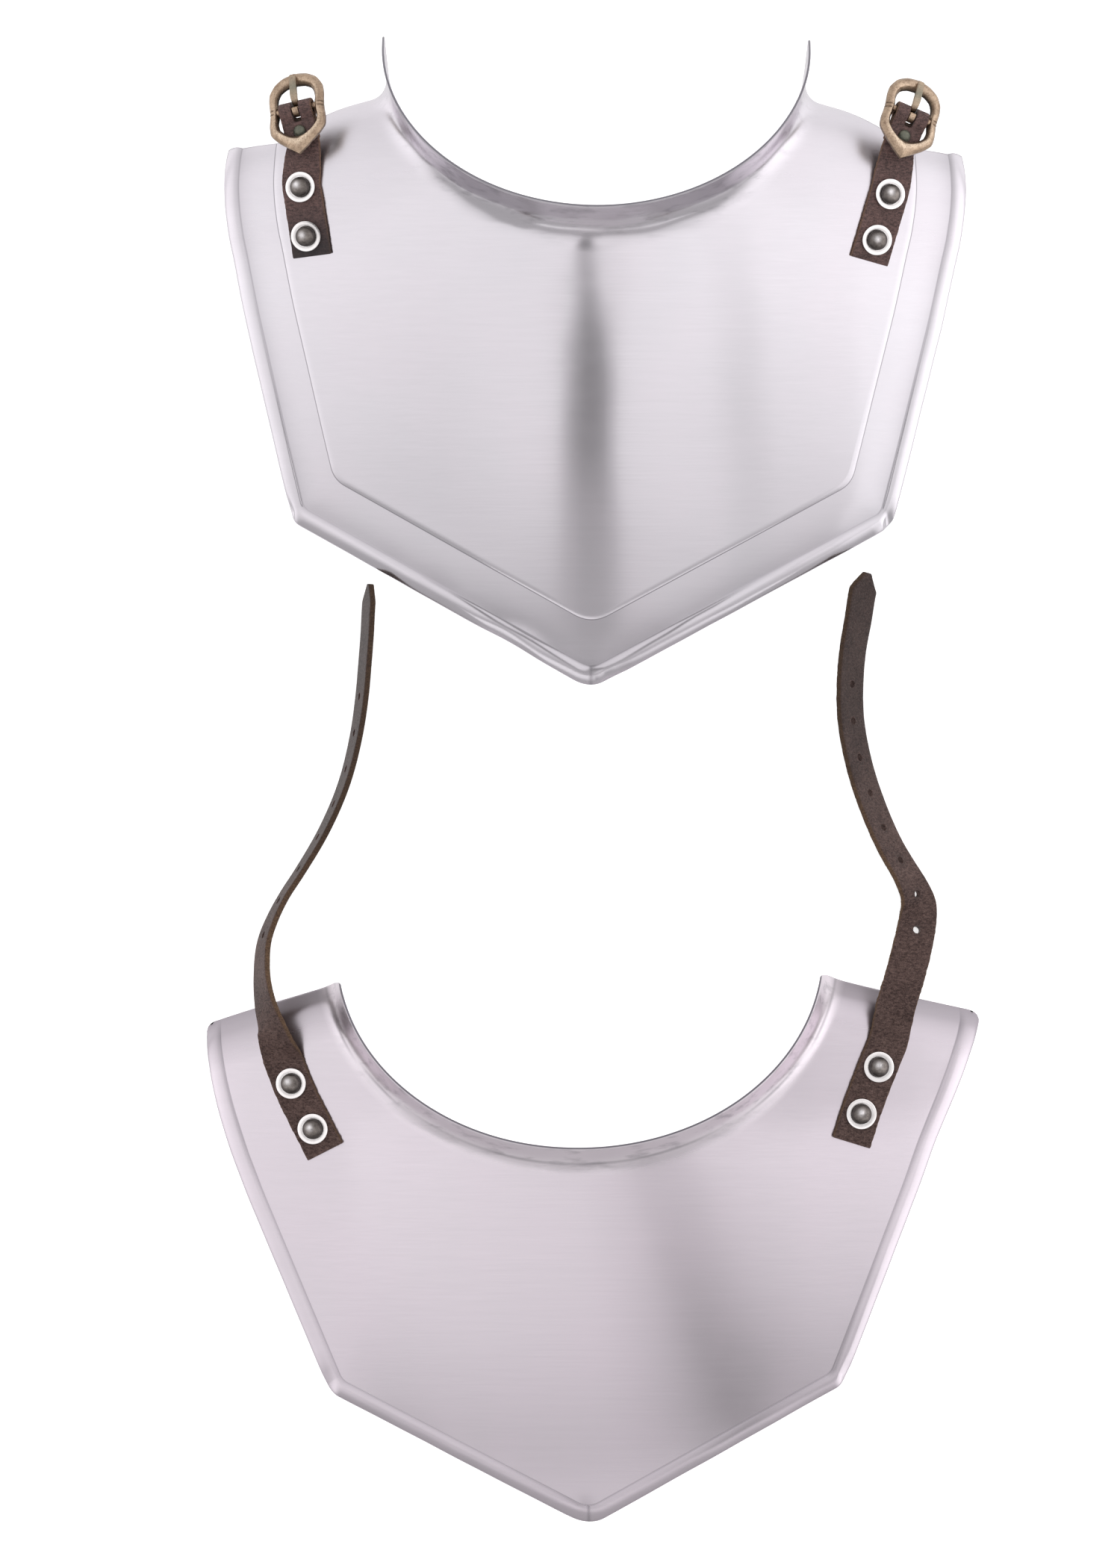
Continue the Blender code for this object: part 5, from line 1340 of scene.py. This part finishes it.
def dress_buckle(side, path):
    lean = math.radians(BUCKLE_LEAN)
    across, centre = path["across"], path["bar"]
    way = path["way"] * math.cos(lean) - path["up"] * math.sin(lean)
    up = path["up"] * math.cos(lean) + path["way"] * math.sin(lean)
    ring = ring_line()
    verts, marks = [], dict(patina_and_shade=[], green=[], wear_and_highlight=[])
    for ox, oy, ix, iy in ring:
        for share, face in BUCKLE_CROSS:
            x, y = ix + (ox - ix) * share, iy + (oy - iy) * share
            high, *values = buckle_point(share, y, face)
            rub = 0.10 * float(wander(np.array([x, y]), 9.0, 5)) / BUCKLE_THICK
            verts.append(centre + across * x + way * y + up * (high + rub * face - 0.012) * BUCKLE_THICK)
            for key, value in zip(marks, values):
                marks[key].append(value)
    count, n = len(ring), len(BUCKLE_CROSS)
    faces = [(i * n + k, (i + 1) % count * n + k, (i + 1) % count * n + (k + 1) % n, i * n + (k + 1) % n)
             for i in range(count) for k in range(n)]
    node = "buckle_" + side
    thing = piece(node, node, verts, faces, brass, marks, sharp=38)
    reach = (ring[:, 0].max() + BUCKLE_WAIST * BUCKLE_LENGTH) / 2 - 0.3
    bar = rod("bar", (centre, np.array([way, up, across])), BAR_RADIUS, reach)
    bar.data.materials.append(brass)
    carve(thing, [bar], "UNION")
    return centre, across, way, up


# %% Prongs
PRONG_LOW, PRONG_HIGH = 8.0, -262.0


def dress_prong(side, centre, across, way, up):
    """Strip bent round the bar, its end hammered narrower, resting on the upper loop."""
    inner = BAR_RADIUS + GAP
    mid = inner + PRONG_THICK / 2
    rest_on = BUCKLE_THICK / 2 + GAP + PRONG_THICK / 2
    turns = np.radians(np.arange(PRONG_HIGH, PRONG_LOW + 1, 9.0))
    line = [(mid * math.cos(a), mid * math.sin(a)) for a in turns]
    top = BUCKLE_LENGTH * PRONG_REACH
    bend = inner + PRONG_THICK
    arm = [(bend - 0.35, mid * 0.55), (bend + 0.6, rest_on - 0.75), (top * 0.36, rest_on - 0.15),
           (top * 0.6, rest_on + 0.02), (top * 0.82, rest_on + 0.0), (top - 1.3, rest_on - 0.06)]
    points = np.array([centre + way * y + up * z for y, z in line + arm])
    ups = -np.cross(across, unit(np.gradient(points, axis=0)))
    length = run_length(points)
    clear = np.clip(((points - centre) @ way - 4.6) / 2.0, 0, 1)
    widths = PRONG_WIDTH * (1.0 + 0.16 * clear - 0.20 * np.clip((length / length[-1] - 0.6) / 0.4, 0, 1))
    fine, fine_up, fine_wide, _ = rounder(points, ups, widths, 0.45)
    verts, faces, _ = slab(fine, fine_up, fine_wide, PRONG_THICK, soft=0.34, top_cols=4, low_cols=4)
    # patina and painted shade: the prong darker where it curls round the bar
    patina_and_shade = [np.clip(1.25 - (far - inner) / 1.1, 0, 1) * 0.8 for far in off_axis(verts, centre, across)]
    ahead = (np.array(verts) - centre) @ way
    green = np.clip(1 - np.abs(ahead - top * 0.55) / (top * 0.5), 0, 1) * 1.6
    node = "prong_" + side
    thing = piece(node, node, verts, faces, brass,
                  {"patina_and_shade": patina_and_shade, "green": green, "wear_and_highlight": [0.1] * len(verts)}, sharp=38)
    print(node, "reach mm", round(float(ahead.max()), 1), "faces", len(thing.data.polygons))


for side, path in buckles.items():
    dress_prong(side, *dress_buckle(side, path))

# %% [markdown]
# The light of the photograph is a white tent. What gives the steel its form are the few darker
# things that it mirrors, so dark cards hang where their mirror images fall on the plate. Cards,
# like the table, are the studio's and not the gorget's.

# %% Camera
LENS, SENSOR, FRAME_HEIGHT, CENTRE, TALL = 500.0, 36.0, 707.0, (-15.5, -1.7), 20.0
camera = put("camera", bpy.data.cameras.new("camera"))
bpy.context.scene.camera = camera
camera.data.lens, camera.data.sensor_width = LENS, SENSOR
camera.location = [place * MM for place in (*CENTRE, FRAME_HEIGHT * LENS / SENSOR + TALL)]
camera.data.clip_end = 100.0
print("camera height m", round(camera.location[2], 2))

# %% Tent of light
world = bpy.data.worlds.new("tent")
bpy.context.scene.world = world
world.use_nodes = True
side, ahead, height = Wire(world.node_tree, None).node("ShaderNodeTexCoord", output="Generated").split()
near = ahead.maths("MINIMUM", ahead, 0.0)
far = ahead.maths("MAXIMUM", ahead, 0.0)


def tent(side, near, far):
    """Brightness of the tent in a direction, for sockets or for plain numbers."""
    return (1.07 + side * 0.155 - near * 0.42 + side * side * 0.546 - side * near * 0.155
            - near * near * 1.45 - far * far * 0.12)


TENT_LOW, TENT_DEEP, TENT_STEEP = 0.50, 0.56, 10.0
bright = tent(side, near, far)
deep = near.maths("MINIMUM", near + TENT_DEEP, 0.0)
bright = bright - deep * deep * TENT_STEEP
bright = bright.maths("MAXIMUM", bright, TENT_LOW)
low = 0.66 + ahead * 0.24
low = low.maths("MAXIMUM", low, 0.54) + side * side * 0.1
low = low + (height * -4.0 - 0.6).clamped() * (side * side * 0.5 + 0.25)
below = (height * -5 + 0.2).clamped()
bright = bright * (1 - below) + below * low
background = world.node_tree.nodes["Background"]
world.node_tree.links.new(bright.out, background.inputs["Strength"])
background.inputs["Color"].default_value = (1.0, 1.0, 1.0, 1.0)

# %% Table
TABLE_REACH = 8
floor = bpy.data.meshes.new("table")
corners = [(x * TABLE_REACH, y * TABLE_REACH, 0) for x, y in ((-1, -1), (1, -1), (1, 1), (-1, 1))]
floor.from_pydata(corners, [], [(0, 1, 2, 3)])
table = put("table", floor)
cloth = Finish("white table", roughness=0.9, base_color=(0.9, 0.9, 0.9, 1.0), specular_ior_level=0.0,
               emission_color=(1.0, 1.0, 1.0, 1.0), emission_strength=0.55)
floor.materials.append(cloth.material)
table.visible_glossy = False


# %% Cards
def mirror_spot(plate, x, y, high):
    """Where a card at some height must hang to be mirrored at a place of the plate."""
    point, normal = seat(plate, x, y)
    ray = unit(point - np.array(camera.location) / MM)
    ray = ray - 2 * (ray @ normal) * normal
    return point + ray * (high - point[2]) / ray[2], ray


PHOTO_MIDDLE, MM_PER_PIXEL = (796, 1045), 0.3367


def photo(px, py):
    """Place on the plan of a pixel of the full frame."""
    return (px - PHOTO_MIDDLE[0]) * MM_PER_PIXEL, (PHOTO_MIDDLE[1] - py) * MM_PER_PIXEL


def panel(name, plate, high, downs, lines):
    """Card that a plate mirrors: lines of its places across, one to each place down, and of its glow
    there. A line without a glow takes the tent's own."""
    verts, glow, count = [], [], len(downs)
    for acrosses, levels in lines:
        for k, (x, y) in enumerate(zip(np.broadcast_to(acrosses, count), downs)):
            spot, ray = mirror_spot(plate, *photo(x, y), high)
            verts.append(Vector(spot) * MM)
            plain = (tent(ray[0], min(ray[1], 0.0), max(ray[1], 0.0))
                     - min(ray[1] + TENT_DEEP, 0.0) ** 2 * TENT_STEEP)
            glow.append(levels[k] if levels else float(max(plain, TENT_LOW)))
    faces = [(i * count + k, i * count + k + 1, (i + 1) * count + k + 1, (i + 1) * count + k)
             for i in range(len(lines) - 1) for k in range(count - 1)]
    mesh = bpy.data.meshes.new(name)
    mesh.from_pydata(verts, [], faces)
    mesh.attributes.new("glow", "FLOAT", "POINT").data.foreach_set("value", glow)
    thing = put(name, mesh)
    look = Finish(name, roughness=1.0, base_color=(0.0, 0.0, 0.0, 1.0), specular_ior_level=0.0,
                  emission_strength=1.0)
    level = look.mark("glow")
    look.feed(emission_color=level.node("ShaderNodeCombineXYZ", {}, {0: level, 1: level, 2: level}))
    mesh.materials.append(look.material)
    thing.visible_camera = thing.visible_diffuse = thing.visible_shadow = False


panel("front card", FRONT, 420.0, (300, 340, 400, 470, 560, 680, 780, 880), (
    (600, None),
    (700, (1.05, 1.05, 1.04, 1.03, 1.00, 0.92, 0.74, 0.56)),
    ((754, 752, 750, 746, 745, 742, 738, 736), (1.06, 1.06, 1.05, 1.04, 1.00, 0.92, 0.72, 0.50)),
    ((770, 768, 766, 759, 757, 757, 757, 757), (1.00, 0.92, 0.70, 0.50, 0.48, 0.58, 0.58, 0.44)),
    ((784, 784, 782, 778, 777, 778, 780, 784), (0.98, 0.82, 0.38, 0.26, 0.26, 0.40, 0.48, 0.42)),
    ((800, 802, 806, 808, 808, 811, 814, 816), (0.98, 0.84, 0.44, 0.30, 0.30, 0.42, 0.50, 0.44)),
    ((816, 822, 829, 829, 829, 833, 838, 840), (1.08, 1.08, 1.07, 1.05, 1.01, 0.92, 0.78, 0.54)),
    (900, (1.14, 1.13, 1.12, 1.09, 1.04, 0.95, 0.82, 0.64)),
    ((930, 935, 945, 950, 955, 958, 960, 962), (1.20, 1.18, 1.15, 1.10, 1.03, 0.94, 0.80, 0.66)),
    ((955, 965, 975, 985, 990, 992, 994, 996), (1.18, 1.12, 1.05, 0.98, 0.89, 0.84, 0.76, 0.66)),
    ((985, 990, 1000, 1005, 1008, 1010, 1012, 1014), (1.20, 1.15, 1.08, 1.00, 0.90, 0.84, 0.76, 0.66)),
    ((1010, 1020, 1030, 1035, 1038, 1040, 1042, 1044), (1.25, 1.23, 1.20, 1.15, 1.04, 0.88, 0.76, 0.66)),
    (1150, (1.30, 1.28, 1.24, 1.19, 1.08, 0.90, 0.76, 0.64)),
))
panel("back card", BACK, 200.0, (1500, 1560, 1620, 1680, 1740, 1800, 1860, 1960), (
    (470, (1.24, 1.18, 1.11, 1.07, 1.02, 0.95, 0.84, 0.62)),
    (640, (1.14, 1.10, 1.04, 1.03, 1.00, 0.97, 0.89, 0.60)),
    ((770, 780, 785, 790, 800, 810, 820, 830), (1.14, 1.06, 0.98, 0.98, 0.95, 0.91, 0.85, 0.60)),
    ((820, 835, 850, 862, 878, 895, 915, 935), (1.00, 0.86, 0.84, 0.84, 0.77, 0.71, 0.63, 0.46)),
    ((850, 868, 890, 905, 925, 945, 970, 990), (0.96, 0.80, 0.66, 0.60, 0.52, 0.45, 0.37, 0.32)),
    ((890, 910, 930, 945, 965, 985, 1005, 1020), (1.02, 0.88, 0.74, 0.66, 0.58, 0.48, 0.38, 0.32)),
    ((960, 975, 985, 1000, 1010, 1020, 1035, 1045), (1.10, 1.04, 0.94, 0.87, 0.77, 0.62, 0.46, 0.36)),
    ((1080, *[1090] * 7), (1.22, 1.14, 1.02, 0.95, 0.88, 0.78, 0.60, 0.44)),
    (1260, (1.28, 1.18, 1.06, 0.98, 0.88, 0.78, 0.62, 0.50)),
))

# %% Show the colours plainly
bpy.context.scene.view_settings.view_transform = "Standard"
